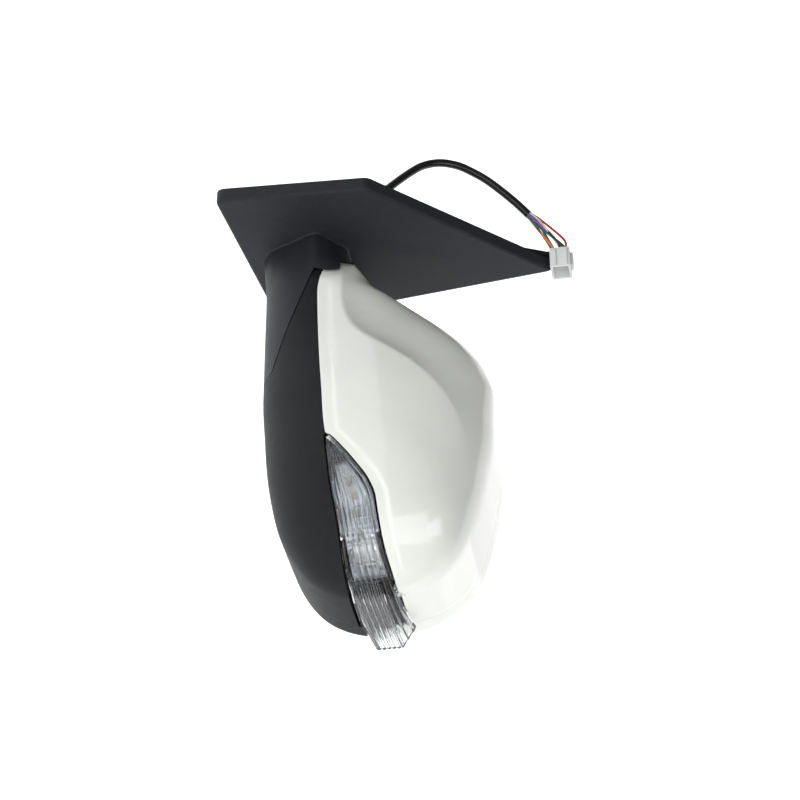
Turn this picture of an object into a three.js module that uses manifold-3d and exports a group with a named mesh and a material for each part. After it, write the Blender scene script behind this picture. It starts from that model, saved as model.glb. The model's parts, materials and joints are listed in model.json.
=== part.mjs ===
// Left door mirror of a car: folding head, painted cap, indicator lamp, adjustable heated glass.
// Millimetres. +X points outboard from the door, +Y rearward, +Z up.
// The origin is on the door-side face of the die-cast base bracket.
import * as THREE from "three";
import { mergeVertices } from "three/addons/utils/BufferGeometryUtils.js";
import Module from "manifold-3d";

const wasm = await Module();
wasm.setup();
const root = new THREE.Group();

// ---------------------------------------------------------------- driving dimensions
const FINENESS = 0.04; // how far a face may stray when needless vertices are dropped
const GAP = 0.4; // clearance between neighbouring pieces
const SKIN = 2.4; // wall of the moulded shells
const TIP_X = 249.4; // outboard end of the head
const SAIL = { outer: 9.5, wall: 2.4, lip: 2.2 };
// The fold axis leans outboard by tilt. neck, collar and skirt are radii about it. stop is the angle from the
// inboard direction at which the collar ends, so that the head can swing rearward.
const FOLD = {
  x: 48, z: 6.6, tilt: (22 * Math.PI) / 180, neck: 39.5, collar: 41, skirt: 64, gap: 0.75, stop: 0.42,
};
const REAR = { split: 34, rim: 48, opening: 8, flange: 2.4 }; // rear housing, along Y
const GLASS = { x: 151, z: 45, pivot: 32, face: 42, thick: 2, margin: 2.6 };
const JACK = { yaw: 26, pitch: 24, radius: 4 }; // plunger offsets from the glass pivot
const LENS_START = 165; // inboard end of the indicator lens

// ---------------------------------------------------------------- solids from three.js geometry
function solid(geometry, matrix) {
  const g = geometry.clone();
  if (matrix) g.applyMatrix4(matrix);
  g.deleteAttribute("normal");
  g.deleteAttribute("uv");
  const m = mergeVertices(g, 1e-4);
  const index = m.index.array;
  const kept = [];
  for (let i = 0; i < index.length; i += 3) {
    const [a, b, c] = index.slice(i, i + 3);
    if (a !== b && b !== c && c !== a) kept.push(a, b, c);
  }
  const mesh = new wasm.Mesh({
    numProp: 3,
    vertProperties: new Float32Array(m.attributes.position.array),
    triVerts: new Uint32Array(kept),
  });
  return new wasm.Manifold(mesh);
}

function geometryOf(manifold) {
  const m = manifold.getMesh();
  const g = new THREE.BufferGeometry();
  g.setAttribute("position", new THREE.BufferAttribute(new Float32Array(m.vertProperties), 3));
  g.setIndex(new THREE.BufferAttribute(new Uint32Array(m.triVerts), 1));
  return g;
}

const moved = (x, y, z) => new THREE.Matrix4().makeTranslation(x, y, z);
const turned = (axis, angle) => new THREE.Matrix4().makeRotationAxis(axis, angle);
const X_AXIS = new THREE.Vector3(1, 0, 0);
const Y_AXIS = new THREE.Vector3(0, 1, 0);
const Z_AXIS = new THREE.Vector3(0, 0, 1);

// The fold frame: +X along the parting plane, outboard; +Z along the fold axis; origin where they meet.
const FOLD_FRAME = moved(FOLD.x, 0, FOLD.z).multiply(turned(Y_AXIS, FOLD.tilt));
const inFold = (matrix = new THREE.Matrix4()) => FOLD_FRAME.clone().multiply(matrix);

function box(x0, x1, y0, y1, z0, z1, frame) {
  const m = moved((x0 + x1) / 2, (y0 + y1) / 2, (z0 + z1) / 2);
  return solid(new THREE.BoxGeometry(x1 - x0, y1 - y0, z1 - z0), frame ? frame.clone().multiply(m) : m);
}

// A cylinder along Z of the given frame, from z0 to z1.
function rod(radius, z0, z1, frame = new THREE.Matrix4(), sides = 20) {
  const m = moved(0, 0, (z0 + z1) / 2).multiply(turned(X_AXIS, Math.PI / 2));
  return solid(new THREE.CylinderGeometry(radius, radius, z1 - z0, sides), frame.clone().multiply(m));
}

const tube = (outer, inner, z0, z1, frame, sides) =>
  rod(outer, z0, z1, frame, sides).subtract(rod(inner, z0 - 1, z1 + 1, frame, sides));

// Frames whose +Z lies along the part's X or Y.
const alongX = (x, y, z) => moved(x, y, z).multiply(turned(Y_AXIS, Math.PI / 2));
const alongY = (x, y, z) => moved(x, y, z).multiply(turned(X_AXIS, -Math.PI / 2));

// A prism whose outline is given in the part's (Y, Z) plane, from x0 to x1.
function prismX(points, x0, x1) {
  const shape = new THREE.Shape(points.map(([y, z]) => new THREE.Vector2(y, z)));
  const g = new THREE.ExtrudeGeometry(shape, { depth: x1 - x0, bevelEnabled: false });
  const basis = new THREE.Matrix4().makeBasis(Y_AXIS, Z_AXIS, X_AXIS);
  return solid(g, moved(x0, 0, 0).multiply(basis));
}

// A prism whose outline is given in the part's (X, Z) plane, from y0 to y1.
function prismY(points, y0, y1) {
  const shape = new THREE.Shape(points.map(([x, z]) => new THREE.Vector2(z, x)));
  const g = new THREE.ExtrudeGeometry(shape, { depth: y1 - y0, bevelEnabled: false });
  const basis = new THREE.Matrix4().makeBasis(Z_AXIS, X_AXIS, Y_AXIS);
  return solid(g, moved(0, y0, 0).multiply(basis));
}

// ---------------------------------------------------------------- outlines
// Rounds the corners of a closed polygon with arcs of n steps. radius is one number, or one per corner.
function rounded(points, radius, n = 4) {
  const out = [];
  points.forEach((p, i) => {
    const a = new THREE.Vector2(...points[(i + points.length - 1) % points.length]);
    const b = new THREE.Vector2(...p);
    const c = new THREE.Vector2(...points[(i + 1) % points.length]);
    const cut = Math.min(radius[i] ?? radius, a.distanceTo(b) / 2.2, b.distanceTo(c) / 2.2);
    const p0 = b.clone().add(a.clone().sub(b).setLength(cut));
    const p2 = b.clone().add(c.clone().sub(b).setLength(cut));
    const arc = new THREE.QuadraticBezierCurve(p0, b, p2);
    arc.getPoints(n).forEach((q) => out.push([q.x, q.y]));
  });
  return out;
}

// Moves a closed polygon inward by d.
function inset(points, d) {
  const n = points.length;
  let area = 0;
  points.forEach(([x, y], i) => {
    const [u, v] = points[(i + 1) % n];
    area += x * v - u * y;
  });
  const side = Math.sign(area);
  return points.map((p, i) => {
    const a = new THREE.Vector2(...p).sub(new THREE.Vector2(...points[(i + n - 1) % n])).normalize();
    const b = new THREE.Vector2(...points[(i + 1) % n]).sub(new THREE.Vector2(...p)).normalize();
    const m = new THREE.Vector2(-a.y - b.y, a.x + b.x).normalize();
    const k = (side * d) / Math.max(0.35, m.dot(new THREE.Vector2(-a.y, a.x)));
    return [p[0] + m.x * k, p[1] + m.y * k];
  });
}

// ---------------------------------------------------------------- the head's form
// A smooth curve through keys [x, value]. It runs in sqrt(TIP_X - x), so outlines close roundly at the tip.
function profile(keys) {
  const at = (x) => Math.sqrt(Math.max(0, TIP_X - x));
  const k = keys.map(([x, v]) => [at(x), v]).sort((p, q) => p[0] - q[0]);
  const slope = k.slice(1).map((p, i) => (p[1] - k[i][1]) / (p[0] - k[i][0]));
  const m = k.map((_, i) => {
    const a = slope[Math.max(0, i - 1)];
    const b = slope[Math.min(slope.length - 1, i)];
    return a * b > 0 ? (2 * a * b) / (a + b) : 0;
  });
  return (x) => {
    const u = Math.min(Math.max(at(x), k[0][0]), k[k.length - 1][0]);
    let i = 0;
    while (i < k.length - 2 && u > k[i + 1][0]) i++;
    const h = k[i + 1][0] - k[i][0];
    const t = (u - k[i][0]) / h;
    const a = k[i][1] * (1 + 2 * t) * (1 - t) ** 2 + k[i + 1][1] * t * t * (3 - 2 * t);
    return a + h * (m[i] * t * (1 - t) ** 2 - m[i + 1] * t * t * (1 - t));
  };
}

const topZ = profile([
  [18, 29], [24, 35.5], [32, 41.5], [41, 49], [50, 62], [64, 80], [75, 92], [86, 101.5], [100, 109.5],
  [118, 114.5], [145, 114.5], [179, 110], [206, 103.5], [223, 97], [234, 89], [242.5, 77], [247.6, 62],
  [TIP_X, 46],
]);
const bottomZ = profile([
  [9.5, -26], [110, -25.5], [140, -23.5], [163, -21.5], [185, -18], [203.5, -13.5], [222, -5], [236, 6],
  [243.8, 18], [247.5, 28.5], [TIP_X, 46],
]);
const waistZ = profile([[9.5, 12], [60, 12], [100, 22], [150, 36], [200, 44], [TIP_X, 46]]);
const frontY = profile([
  [9.5, -41], [30, -39.5], [60, -38.5], [90, -40.5], [130, -45], [170, -46.5], [205, -43], [225, -34.5],
  [238, -21], [246, -7], [TIP_X, 5],
]);
const wallY = profile([[9.5, 0], [205, 0], [235, 2], [TIP_X, 5.2]]); // where the side walls begin
const splitY = profile([[24, 2], [40, 6], [52, 16], [66, 30], [78, REAR.split], [TIP_X, REAR.split]]);
// The painted cap's lower edge, and the lower edge of the opening for the lens.
const seamZ = profile([
  [18, 27], [24, 22], [32, 18.2], [42, 15], [54, 13.3], [87, 14.8], [126, 18], [163.2, 21.5], [165, 24.2],
  [169, 27.6], [174, 31.4], [183.4, 38.1], [197.4, 47], [208, 50.7], [217.3, 51.6], [232, 53.2], [243, 55.6],
  [TIP_X, 58],
]);
const lensLowZ = profile([
  [9.5, 20.6], [165, 21], [181, 22.4], [200, 24.4], [212, 26.4], [226, 27.8], [TIP_X, 28],
]);
const UPPER = 2.5; // roundness of the section above and below the waist
const LOWER = 2.1;

// A point of the section at x: angle -90 degrees is the bottom, 0 the front and 90 degrees the top.
function sectionPoint(x, angle) {
  const n = angle >= 0 ? UPPER : LOWER;
  const s = Math.sin(Math.abs(angle)) ** (2 / n);
  const c = Math.max(0, Math.cos(angle)) ** (2 / n);
  const edge = angle >= 0 ? topZ(x) : bottomZ(x);
  const z = waistZ(x) + (edge - waistZ(x)) * s;
  return [wallY(x) - (wallY(x) - frontY(x)) * c, z];
}

function sectionAngle(x, z) {
  const up = z >= waistZ(x);
  const t = up ? (z - waistZ(x)) / (topZ(x) - waistZ(x)) : (waistZ(x) - z) / (waistZ(x) - bottomZ(x));
  const a = Math.asin(Math.min(1, t) ** ((up ? UPPER : LOWER) / 2));
  return up ? a : -a;
}

const cosT = Math.cos(FOLD.tilt);
const sinT = Math.sin(FOLD.tilt);
function toFold([x, y, z]) {
  const [dx, dz] = [x - FOLD.x, z - FOLD.z];
  return [dx * cosT - dz * sinT, y, dx * sinT + dz * cosT];
}
const fromFold = ([a, b, c]) => [FOLD.x + a * cosT + c * sinT, b, FOLD.z - a * sinT + c * cosT];

// Keeps the inboard half of the head inside the round neck that turns in the collar.
function inNeck(p) {
  const q = toFold(p);
  if (q[0] >= 0) return p;
  const limit = Math.sqrt(Math.max(0, FOLD.neck ** 2 - q[0] ** 2));
  return fromFold([q[0], Math.max(-limit, Math.min(limit, q[1])), q[2]]);
}

// Stations along X, closer together towards the tip.
function stations(x0, x1, n) {
  const a = Math.sqrt(TIP_X - x0);
  const b = Math.sqrt(TIP_X - x1);
  return Array.from({ length: n + 1 }, (_, i) => {
    const t = i / n;
    const even = x0 + (x1 - x0) * t;
    const rooted = TIP_X - (a + (b - a) * t) ** 2;
    return even + (rooted - even) * t;
  });
}

// Rows of the skin at one station, from angle a0 to a1, with side walls back to splitY where asked.
function skinRow(x, a0, a1, front, wall, below, above) {
  const row = [];
  const back = splitY(x);
  if (below)
    for (let j = 0; j < wall; j++) row.push([x, back + (wallY(x) - back) * (j / wall), bottomZ(x)]);
  for (let j = 0; j <= front; j++) {
    const [y, z] = sectionPoint(x, a0 + ((a1 - a0) * j) / front);
    row.push([x, y, z]);
  }
  if (above)
    for (let j = 1; j <= wall; j++) row.push([x, wallY(x) + (back - wallY(x)) * (j / wall), topZ(x)]);
  return row.map(inNeck);
}

// Outward normals of a grid of points.
function normalsOf(grid) {
  const v = (p) => new THREE.Vector3(...p);
  return grid.map((row, i) =>
    row.map((_, j) => {
      const a = v(grid[Math.min(i + 1, grid.length - 1)][j]).sub(v(grid[Math.max(i - 1, 0)][j]));
      const b = v(row[Math.min(j + 1, row.length - 1)]).sub(v(row[Math.max(j - 1, 0)]));
      return a.cross(b).normalize();
    }),
  );
}

const offsetGrid = (grid, normals, distance) =>
  grid.map((row, i) =>
    row.map((p, j) => {
      const n = normals[i][j];
      return [p[0] + n.x * distance, p[1] + n.y * distance, p[2] + n.z * distance];
    }),
  );

// A closed plate between two grids of the same size.
function plate(outer, inner) {
  const rows = outer.length;
  const cols = outer[0].length;
  const position = [...outer.flat(2), ...inner.flat(2)];
  const index = [];
  const o = (i, j) => i * cols + j;
  const n = (i, j) => rows * cols + i * cols + j;
  const quad = (a, b, c, d) => index.push(a, b, c, a, c, d);
  for (let i = 0; i < rows - 1; i++)
    for (let j = 0; j < cols - 1; j++) {
      quad(o(i, j), o(i + 1, j), o(i + 1, j + 1), o(i, j + 1));
      quad(n(i, j), n(i, j + 1), n(i + 1, j + 1), n(i + 1, j));
    }
  for (let i = 0; i < rows - 1; i++) {
    quad(o(i, 0), n(i, 0), n(i + 1, 0), o(i + 1, 0));
    quad(o(i, cols - 1), o(i + 1, cols - 1), n(i + 1, cols - 1), n(i, cols - 1));
  }
  for (let j = 0; j < cols - 1; j++) {
    quad(o(0, j), o(0, j + 1), n(0, j + 1), n(0, j));
    quad(o(rows - 1, j), n(rows - 1, j), n(rows - 1, j + 1), o(rows - 1, j + 1));
  }
  return closed(position, index);
}

// ---------------------------------------------------------------- materials and placing
const look = (color, roughness, metalness = 0) =>
  new THREE.MeshStandardMaterial({ color, roughness, metalness });
const PAINT = look(0xeef1ec, 0.2);
const BLACK = look(0x2b2d30, 0.6);
const CLEAR = look(0xf2f4f6, 0.08);
const SILVER = look(0xc9ccd0, 0.2, 1);
const CAST = look(0x9a9c9e, 0.5, 1);
const STEEL = look(0xb5b8bb, 0.35, 1);
const RUBBER = look(0x1c1c1d, 0.9);
const NYLON = look(0xe9e7df, 0.5);
const GREY = look(0x4b4e52, 0.6);
const MIRROR = look(0xdfe4e8, 0.03, 1);
const BOARD = look(0x1f5a3a, 0.5);
const AMBER = look(0xe3b25a, 0.3);

function add(name, made, material) {
  const mesh = new THREE.Mesh(geometryOf(made.simplify(FINENESS)), material);
  mesh.name = name;
  root.add(mesh);
  return made;
}

// ---------------------------------------------------------------- lofts
// A solid through closed rows of points, its two ends closed by fans.
function loft(rows) {
  const cols = rows[0].length;
  const position = rows.flat(2);
  const index = [];
  const at = (i, j) => i * cols + (j % cols);
  for (let i = 0; i < rows.length - 1; i++)
    for (let j = 0; j < cols; j++) {
      index.push(at(i, j), at(i + 1, j), at(i + 1, j + 1), at(i, j), at(i + 1, j + 1), at(i, j + 1));
    }
  [rows[0], rows[rows.length - 1]].forEach((row, end) => {
    const centre = [0, 1, 2].map((k) => row.reduce((sum, p) => sum + p[k], 0) / cols);
    const hub = rows.length * cols + end;
    position.push(...centre);
    const i = end * (rows.length - 1);
    for (let j = 0; j < cols; j++) {
      const [a, b] = end ? [at(i, j + 1), at(i, j)] : [at(i, j), at(i, j + 1)];
      index.push(a, b, hub);
    }
  });
  return closed(position, index);
}

// Makes a solid from points and triangles, and turns it right side out.
function closed(position, index) {
  const g = new THREE.BufferGeometry();
  g.setAttribute("position", new THREE.BufferAttribute(new Float32Array(position), 3));
  g.setIndex(index);
  const made = solid(g);
  if (made.volume() > 0) return made;
  const flipped = [];
  for (let i = 0; i < index.length; i += 3) flipped.push(index[i], index[i + 2], index[i + 1]);
  g.setIndex(flipped);
  return solid(g);
}

// Sweeps a closed profile [inward, y] round a closed outline in the (X, Z) plane.
function ring(outline, section) {
  const rows = section.map(([u, y]) => inset(outline, u).map(([x, z]) => [x, y, z]));
  const cols = outline.length;
  const n = rows.length;
  const index = [];
  const at = (i, j) => (i % n) * cols + (j % cols);
  for (let i = 0; i < n; i++)
    for (let j = 0; j < cols; j++) {
      index.push(at(i, j), at(i + 1, j), at(i + 1, j + 1), at(i, j), at(i + 1, j + 1), at(i, j + 1));
    }
  return closed(rows.flat(2), index);
}

// ---------------------------------------------------------------- the head
const planeZ = (x) => FOLD.z - (x - FOLD.x) * Math.tan(FOLD.tilt); // height of the parting plane
const NECK_X = 18; // inboard end of the neck
const HEAD_END = TIP_X - 0.3;
const CAP = { from: 24.4, to: 248 }; // the painted cap's extent along X
const SHROUD_END = 247.2;
// Shared by the cap and the shroud, so that their seam fits.
const SKIN_STATIONS = [...stations(CAP.from, LENS_START - 1.8, 13), ...stations(LENS_START, SHROUD_END, 11)];
const RIM_X = 62; // inboard edge of the glass opening's rim
const backY = profile([
  [18, 14], [24, 24], [32, 32], [42, 38], [52, 42.5], [62, 46.5], [64, REAR.rim], [TIP_X, REAR.rim],
]);
const skinY = (x, z) => sectionPoint(x, sectionAngle(x, z))[0];

// Outline of the rear rim, round the glass.
function rimOutline(n) {
  const bend = (p, q, r) => new THREE.QuadraticBezierCurve(...[p, q, r].map((k) => new THREE.Vector2(...k)));
  const points = (curve, k) => curve.getPoints(k).map((v) => [v.x, v.y]);
  const low = (x) => planeZ(x) + 0.6;
  const top = stations(72, TIP_X, n).map((x) => [x, topZ(x)]);
  const bottom = stations(124, TIP_X, n).reverse().slice(1).map((x) => [x, bottomZ(x)]);
  const heel = points(bend([124, bottomZ(124)], [116, bottomZ(120)], [106, low(106)]), 4).slice(1);
  const foot = points(bend([76, low(76)], [RIM_X, low(RIM_X)], [RIM_X, 18]), 4);
  const shoulder = points(bend([RIM_X, 64], [RIM_X, 80], [72, topZ(72)]), 4).slice(0, -1);
  return [...top, ...bottom, ...heel, ...foot, ...shoulder];
}
const RIM = rimOutline(10);

// The room inside the head as one solid body, its walls d under the surface and its back that far short.
function headRoom(d, short) {
  const rows = stations(NECK_X, HEAD_END, 18).map((x) => {
    const yb = Math.min(backY(x), REAR.rim) - short;
    const row = [[x, yb, bottomZ(x)], [x, wallY(x), bottomZ(x)]];
    for (let j = 1; j < 12; j++) row.push([x, ...sectionPoint(x, (-0.5 + j / 12) * Math.PI)]);
    row.push([x, wallY(x), topZ(x)], [x, yb, topZ(x)]);
    return row.map(inNeck);
  });
  const normals = normalsOf(rows);
  const inward = normals[9][7].y > 0 ? d : -d;
  return loft(offsetGrid(rows, normals, inward).slice(1, -1));
}

// Everything on the base's side of the parting plane, out to the skirt.
const baseSide = rod(FOLD.skirt + FOLD.gap, -90, FOLD.gap / 2, inFold(), 72);

function paintedCap() {
  const rows = [...SKIN_STATIONS, CAP.to].map((x) =>
    skinRow(x, sectionAngle(x, seamZ(x) + GAP / 2), Math.PI / 2, 9, 2, false, true),
  );
  rows.forEach(trimBack);
  add("painted_cap", skin(rows, SKIN), PAINT);
}

// Keeps the back edge of a row half a gap off the rear housing.
function trimBack(row) {
  const last = row[row.length - 1];
  last[1] -= GAP / 2;
}

// A plate of the given thickness behind a grid that faces outward.
function skin(rows, thickness, lift = 0) {
  const normals = normalsOf(rows);
  const i = Math.floor(rows.length / 2);
  const j = Math.floor(rows[0].length / 3);
  const outward = normals[i][j].y < 0 ? 1 : -1;
  const outer = offsetGrid(rows, normals, outward * lift);
  const inner = offsetGrid(rows, normals, outward * (lift - thickness));
  return plate(outer, inner);
}

// The shroud closes the neck all round as far as the cap, and then reaches up to the cap or the lens.
function shroudTop(x) {
  if (x < CAP.from - 1.8) return topZ(x) - 0.5;
  return (x < LENS_START - 1 ? seamZ(x) : lensLowZ(x)) - GAP / 2;
}

function lowerShroud() {
  const neck = [NECK_X + 0.5, CAP.from - 3, CAP.from - 2, CAP.from - 1.4];
  const rows = [...neck, ...SKIN_STATIONS].map((x) => {
    const top = Math.max(shroudTop(x), bottomZ(x) + 0.6);
    return skinRow(x, -Math.PI / 2, sectionAngle(x, top), 9, 2, true, false);
  });
  rows.forEach((row) => (row[0][1] -= GAP / 2));
  const shell = skin(rows, SKIN).subtract(baseSide);
  const room = headRoom(SKIN / 2, 16);
  const deck = tube(80, 28, FOLD.gap / 2, FOLD.gap / 2 + SKIN, inFold(), 48);
  const clear = FOLD.skirt + FOLD.gap;
  const skirt = tube(clear + SKIN, clear, -60, FOLD.gap / 2 + 1, inFold(), 72);
  const front = box(-20, 300, -80, REAR.split - 6, -60, 150);
  const outboard = box(62, 300, -80, 80, -60, 150);
  const inner = room.intersect(front).intersect(deck.add(skirt.intersect(outboard)));
  add("lower_shroud", shell.add(inner), BLACK);
}

function rearBezel() {
  const w = REAR.opening;
  const section = [
    [0, REAR.split + GAP / 2], [0, 44.5], [1, 46.9], [3.2, REAR.rim], [w - 0.8, REAR.rim], [w, 47.2], [w, 27],
    [w - 2.2, 27], [w - 2.2, 45.6], [SKIN, 44.8], [SKIN, REAR.split + GAP / 2],
  ];
  const rim = ring(RIM, section);
  const rows = stations(NECK_X + 1, RIM_X + 2, 9).map((x) => {
    const low = planeZ(x) + 0.6;
    const mid = Math.max(waistZ(x), low + 0.5);
    const ys = splitY(x) + 2 * GAP;
    const row = [[x, backY(x), low]];
    for (let j = 0; j <= 8; j++) {
      const a = (j / 8) * 0.5 * Math.PI;
      const y = ys + (backY(x) - ys) * Math.max(0, Math.cos(a)) ** 0.8;
      row.push([x, y, mid + (topZ(x) - mid) * Math.sin(a) ** 0.8]);
    }
    return row.map(inNeck);
  });
  const normals = normalsOf(rows);
  const s = normals[5][3].y > 0 ? -SKIN : SKIN;
  const neck = plate(rows, offsetGrid(rows, normals, s));
  add("rear_bezel", rim.add(neck), BLACK);
}

// ---------------------------------------------------------------- the indicator lamp
// The lens ends in a fin that stands clear of the head. f runs from the lens's lower edge to its upper edge.
const FIN = { start: 226, x: 268.3, y: 27, low: 39.6, high: 62.6, lead: 0.62, lean: 13.3, blunt: 0.66 };
const FIN_KNEE = { low: [251, 3, 27.6], high: [246, 0, 53] };

function openingZ(x, f) {
  return lensLowZ(x) + 2 * GAP + (seamZ(x) - lensLowZ(x) - 4 * GAP) * f;
}

// A point on the lamp's outer face: u runs from its inboard point to its blunt end.
function lampPoint(u, f) {
  const lead = Math.min(1, u / FIN.lead);
  const x = LENS_START + (FIN.start - LENS_START) * lead;
  const z = openingZ(x, f);
  const start = [x, skinY(x, z) - 0.2 - 0.5 * lead, z];
  if (u <= FIN.lead) return start;
  const t = (u - FIN.lead) / (1 - FIN.lead);
  const lean = FIN.lean * Math.max(0, (f - FIN.blunt) / (1 - FIN.blunt));
  const end = [FIN.x - lean, FIN.y, FIN.low + (FIN.high - FIN.low) * f];
  const knee = FIN_KNEE.low.map((p, k) => p + (FIN_KNEE.high[k] - p) * f);
  return start.map((p, k) => p * (1 - t) ** 2 + 2 * knee[k] * t * (1 - t) + end[k] * t * t);
}

// The point of the opening behind a point of the lamp's face, at the given depth under the skin.
function lampRoot(u, f, depth) {
  const t = Math.max(0, (u - FIN.lead) / (1 - FIN.lead));
  if (t === 0) {
    const [x, , z] = lampPoint(u, f);
    return [x, skinY(x, z) + depth, z];
  }
  const turn = (t * Math.PI) / 2;
  const x = FIN.start + (TIP_X - FIN.start) * Math.sin(turn) ** 0.75;
  const y0 = skinY(FIN.start, openingZ(FIN.start, f));
  const drop = REAR.split - 1.4 - y0;
  return [x - depth * Math.sin(turn), y0 + drop * t ** 1.25 + depth * (1 - t), openingZ(x, f)];
}

function lampRows(u0, u1, n, frontDepth, rootDepth, edge) {
  return Array.from({ length: n + 1 }, (_, i) => {
    const u = u0 + ((u1 - u0) * i) / n;
    const front = [0, 0.25, 0.5, 0.75, 1].map((f) => {
      const p = lampPoint(u, f);
      const q = lampRoot(u, f, 6);
      const d = new THREE.Vector3(...q).sub(new THREE.Vector3(...p)).setLength(frontDepth);
      return [p[0] + d.x, p[1] + d.y, p[2] + edge * (1 - 2 * f)];
    });
    const back = [1, 0.5, 0].map((f) => {
      const q = lampRoot(u, f, rootDepth);
      return [q[0], q[1], q[2] + edge * (1 - 2 * f)];
    });
    return [...front, ...back];
  });
}

// Rows of a bar behind the lens, between two depths under the skin, its edges moved outward by edge.
function lampBar(u0, u1, near, far, edge) {
  const grow = (p, f) => [p[0], p[1], p[2] + edge * (2 * f - 1)];
  return Array.from({ length: 17 }, (_, i) => {
    const u = u0 + ((u1 - u0) * i) / 16;
    const front = [0, 0.5, 1].map((f) => grow(lampRoot(u, f, near), f));
    const back = [1, 0.5, 0].map((f) => grow(lampRoot(u, f, far), f));
    return [...front, ...back];
  });
}

function indicatorLamp() {
  const hollow = loft(lampRows(0.1, 0.93, 14, 2, SKIN + 3, 1.4));
  add("indicator_lens", loft(lampRows(0.006, 1, 21, 0, SKIN, 0)).subtract(hollow), CLEAR);
  const depth = SKIN + 2 * GAP;
  const tray = loft(lampBar(0.05, 0.9, depth, depth + 10, -0.5));
  const room = loft(lampBar(0.1, 0.86, depth - 3, depth + 8.4, -1.8));
  add("indicator_housing", tray.subtract(room), GREY);
  add("indicator_reflector", loft(lampBar(0.17, 0.84, depth + 6.8, depth + 8, -2.4)), SILVER);
  add("indicator_board", loft(lampBar(0.24, 0.66, depth + 4.9, depth + 6.1, -3)), BOARD);
  [0.3, 0.4, 0.5, 0.6].forEach((u, i) => {
    const p = lampRoot(u, 0.5, depth + 2.6);
    add(`indicator_led_${i + 1}`, box(-1.8, 1.8, -1, 1, -1.6, 1.6, moved(...p)), AMBER);
  });
}

// ---------------------------------------------------------------- the base
const SAIL_CORNERS = [[-80.5, -43], [46, -29.5], [23, 152], [-75.5, 50.5]];
const SAIL_RADII = [7, 5, 4, 3];
const sailOutline = (d) => rounded(inset(SAIL_CORNERS, d), SAIL_RADII, 3);
const DECK = 3; // wall under the parting plane

// The foot's outline where it leaves the sail, as [y, z], and the centre that its sections are sampled round.
const FOOT = [[-18, -26], [-27, -20], [-41, 12], [-22, 28], [15, 27], [38.5, 20], [38.5, -12], [28, -26]];
const FOOT_CENTRE = [-1, 8];
const FOOT_LENGTH = 26; // over which the foot takes on the head's section

// Distance from FOOT_CENTRE to a closed outline along the given angle.
function reach(outline, angle) {
  const [c, s] = [Math.cos(angle), Math.sin(angle)];
  let far = 0;
  outline.forEach((p, i) => {
    const q = outline[(i + 1) % outline.length];
    const [py, pz] = [p[0] - FOOT_CENTRE[0], p[1] - FOOT_CENTRE[1]];
    const [ey, ez] = [q[0] - p[0], q[1] - p[1]];
    const det = ey * s - ez * c;
    if (Math.abs(det) < 1e-9) return;
    const along = (ey * pz - ez * py) / det;
    const share = (c * pz - s * py) / det;
    if (along > 0 && share >= -1e-6 && share <= 1 + 1e-6) far = Math.max(far, along);
  });
  return far;
}

// The head's section at x, closed behind by the foot's own rear.
function footOval(x) {
  const top = sectionAngle(x, FOOT[4][1]);
  const front = Array.from({ length: 13 }, (_, j) => {
    const [y, z] = sectionPoint(x, -Math.PI / 2 + ((top + Math.PI / 2) * j) / 12);
    return [y, z];
  });
  return [...front, ...rounded(FOOT.slice(4), 9, 3)];
}

// A section of the foot and pedestal at x, as a closed loop, its wall moved inward by d.
function footRow(x, d) {
  const blend = Math.min(1, Math.max(0, (x - SAIL.outer) / FOOT_LENGTH));
  const sharp = rounded(FOOT, 3, 2);
  const oval = footOval(x);
  return Array.from({ length: 48 }, (_, j) => {
    const a = (j / 48) * 2 * Math.PI;
    const r = reach(sharp, a) * (1 - blend) + reach(oval, a) * blend - d;
    return [x, FOOT_CENTRE[0] + r * Math.cos(a), FOOT_CENTRE[1] + r * Math.sin(a)];
  });
}

function sailBody() {
  const layer = (x, d) => sailOutline(d).map(([y, z]) => [x, y, z]);
  const { outer, lip } = SAIL;
  return loft([layer(0.6, 0), layer(outer - lip, 0), layer(outer - lip * 0.4, 0.5), layer(outer, lip)]);
}

function baseCover() {
  const foot = (d, x0, x1) => loft([...Array(12).keys()].map((i) => footRow(x0 + ((x1 - x0) * i) / 11, d)));
  const below = rod(FOLD.skirt, -90, -FOLD.gap / 2, inFold(), 48);
  const collar = tube(FOLD.skirt, FOLD.collar, -90, 60, inFold(), 48);
  const side = box(-90, -13, -60, 60, -10, 60, inFold());
  const swing = box(-90, 0, 0, 90, -FOLD.gap / 2, 90, inFold(turned(Z_AXIS, -FOLD.stop)));
  const wall = collar.intersect(side).subtract(swing);
  const pedestal = foot(0, SAIL.outer - 1.5, 120).intersect(below.add(wall));
  const under = (radius) => rod(radius, -90, -DECK, inFold(), 48);
  const room = foot(SKIN, 1, 120).intersect(under(FOLD.skirt - SKIN));
  const open = foot(SKIN + 1, -1, SAIL.outer + 6).intersect(under(FOLD.skirt));
  const inside = prismX(rounded(inset(SAIL_CORNERS, SAIL.wall + 0.4), 3, 3), -1, SAIL.outer - SAIL.wall);
  const cuts = [inside, room, open, rod(25, -20, 4, inFold(), 40)];
  add("base_cover", cuts.reduce((a, b) => a.subtract(b), sailBody().add(pedestal)), BLACK);
}

const GROMMET = { y: -24, z: 20, bore: 7, recess: 9.6, recessDepth: 2.8 };

// The bracket's studs, as [y, z] on the door face.
const STUDS = [[-54, -10], [-6, 84], [20, -9]];
const STUD_LENGTH = 14;
const POST = { radius: 7, seat: 22, low: -14, high: 44 };

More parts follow.
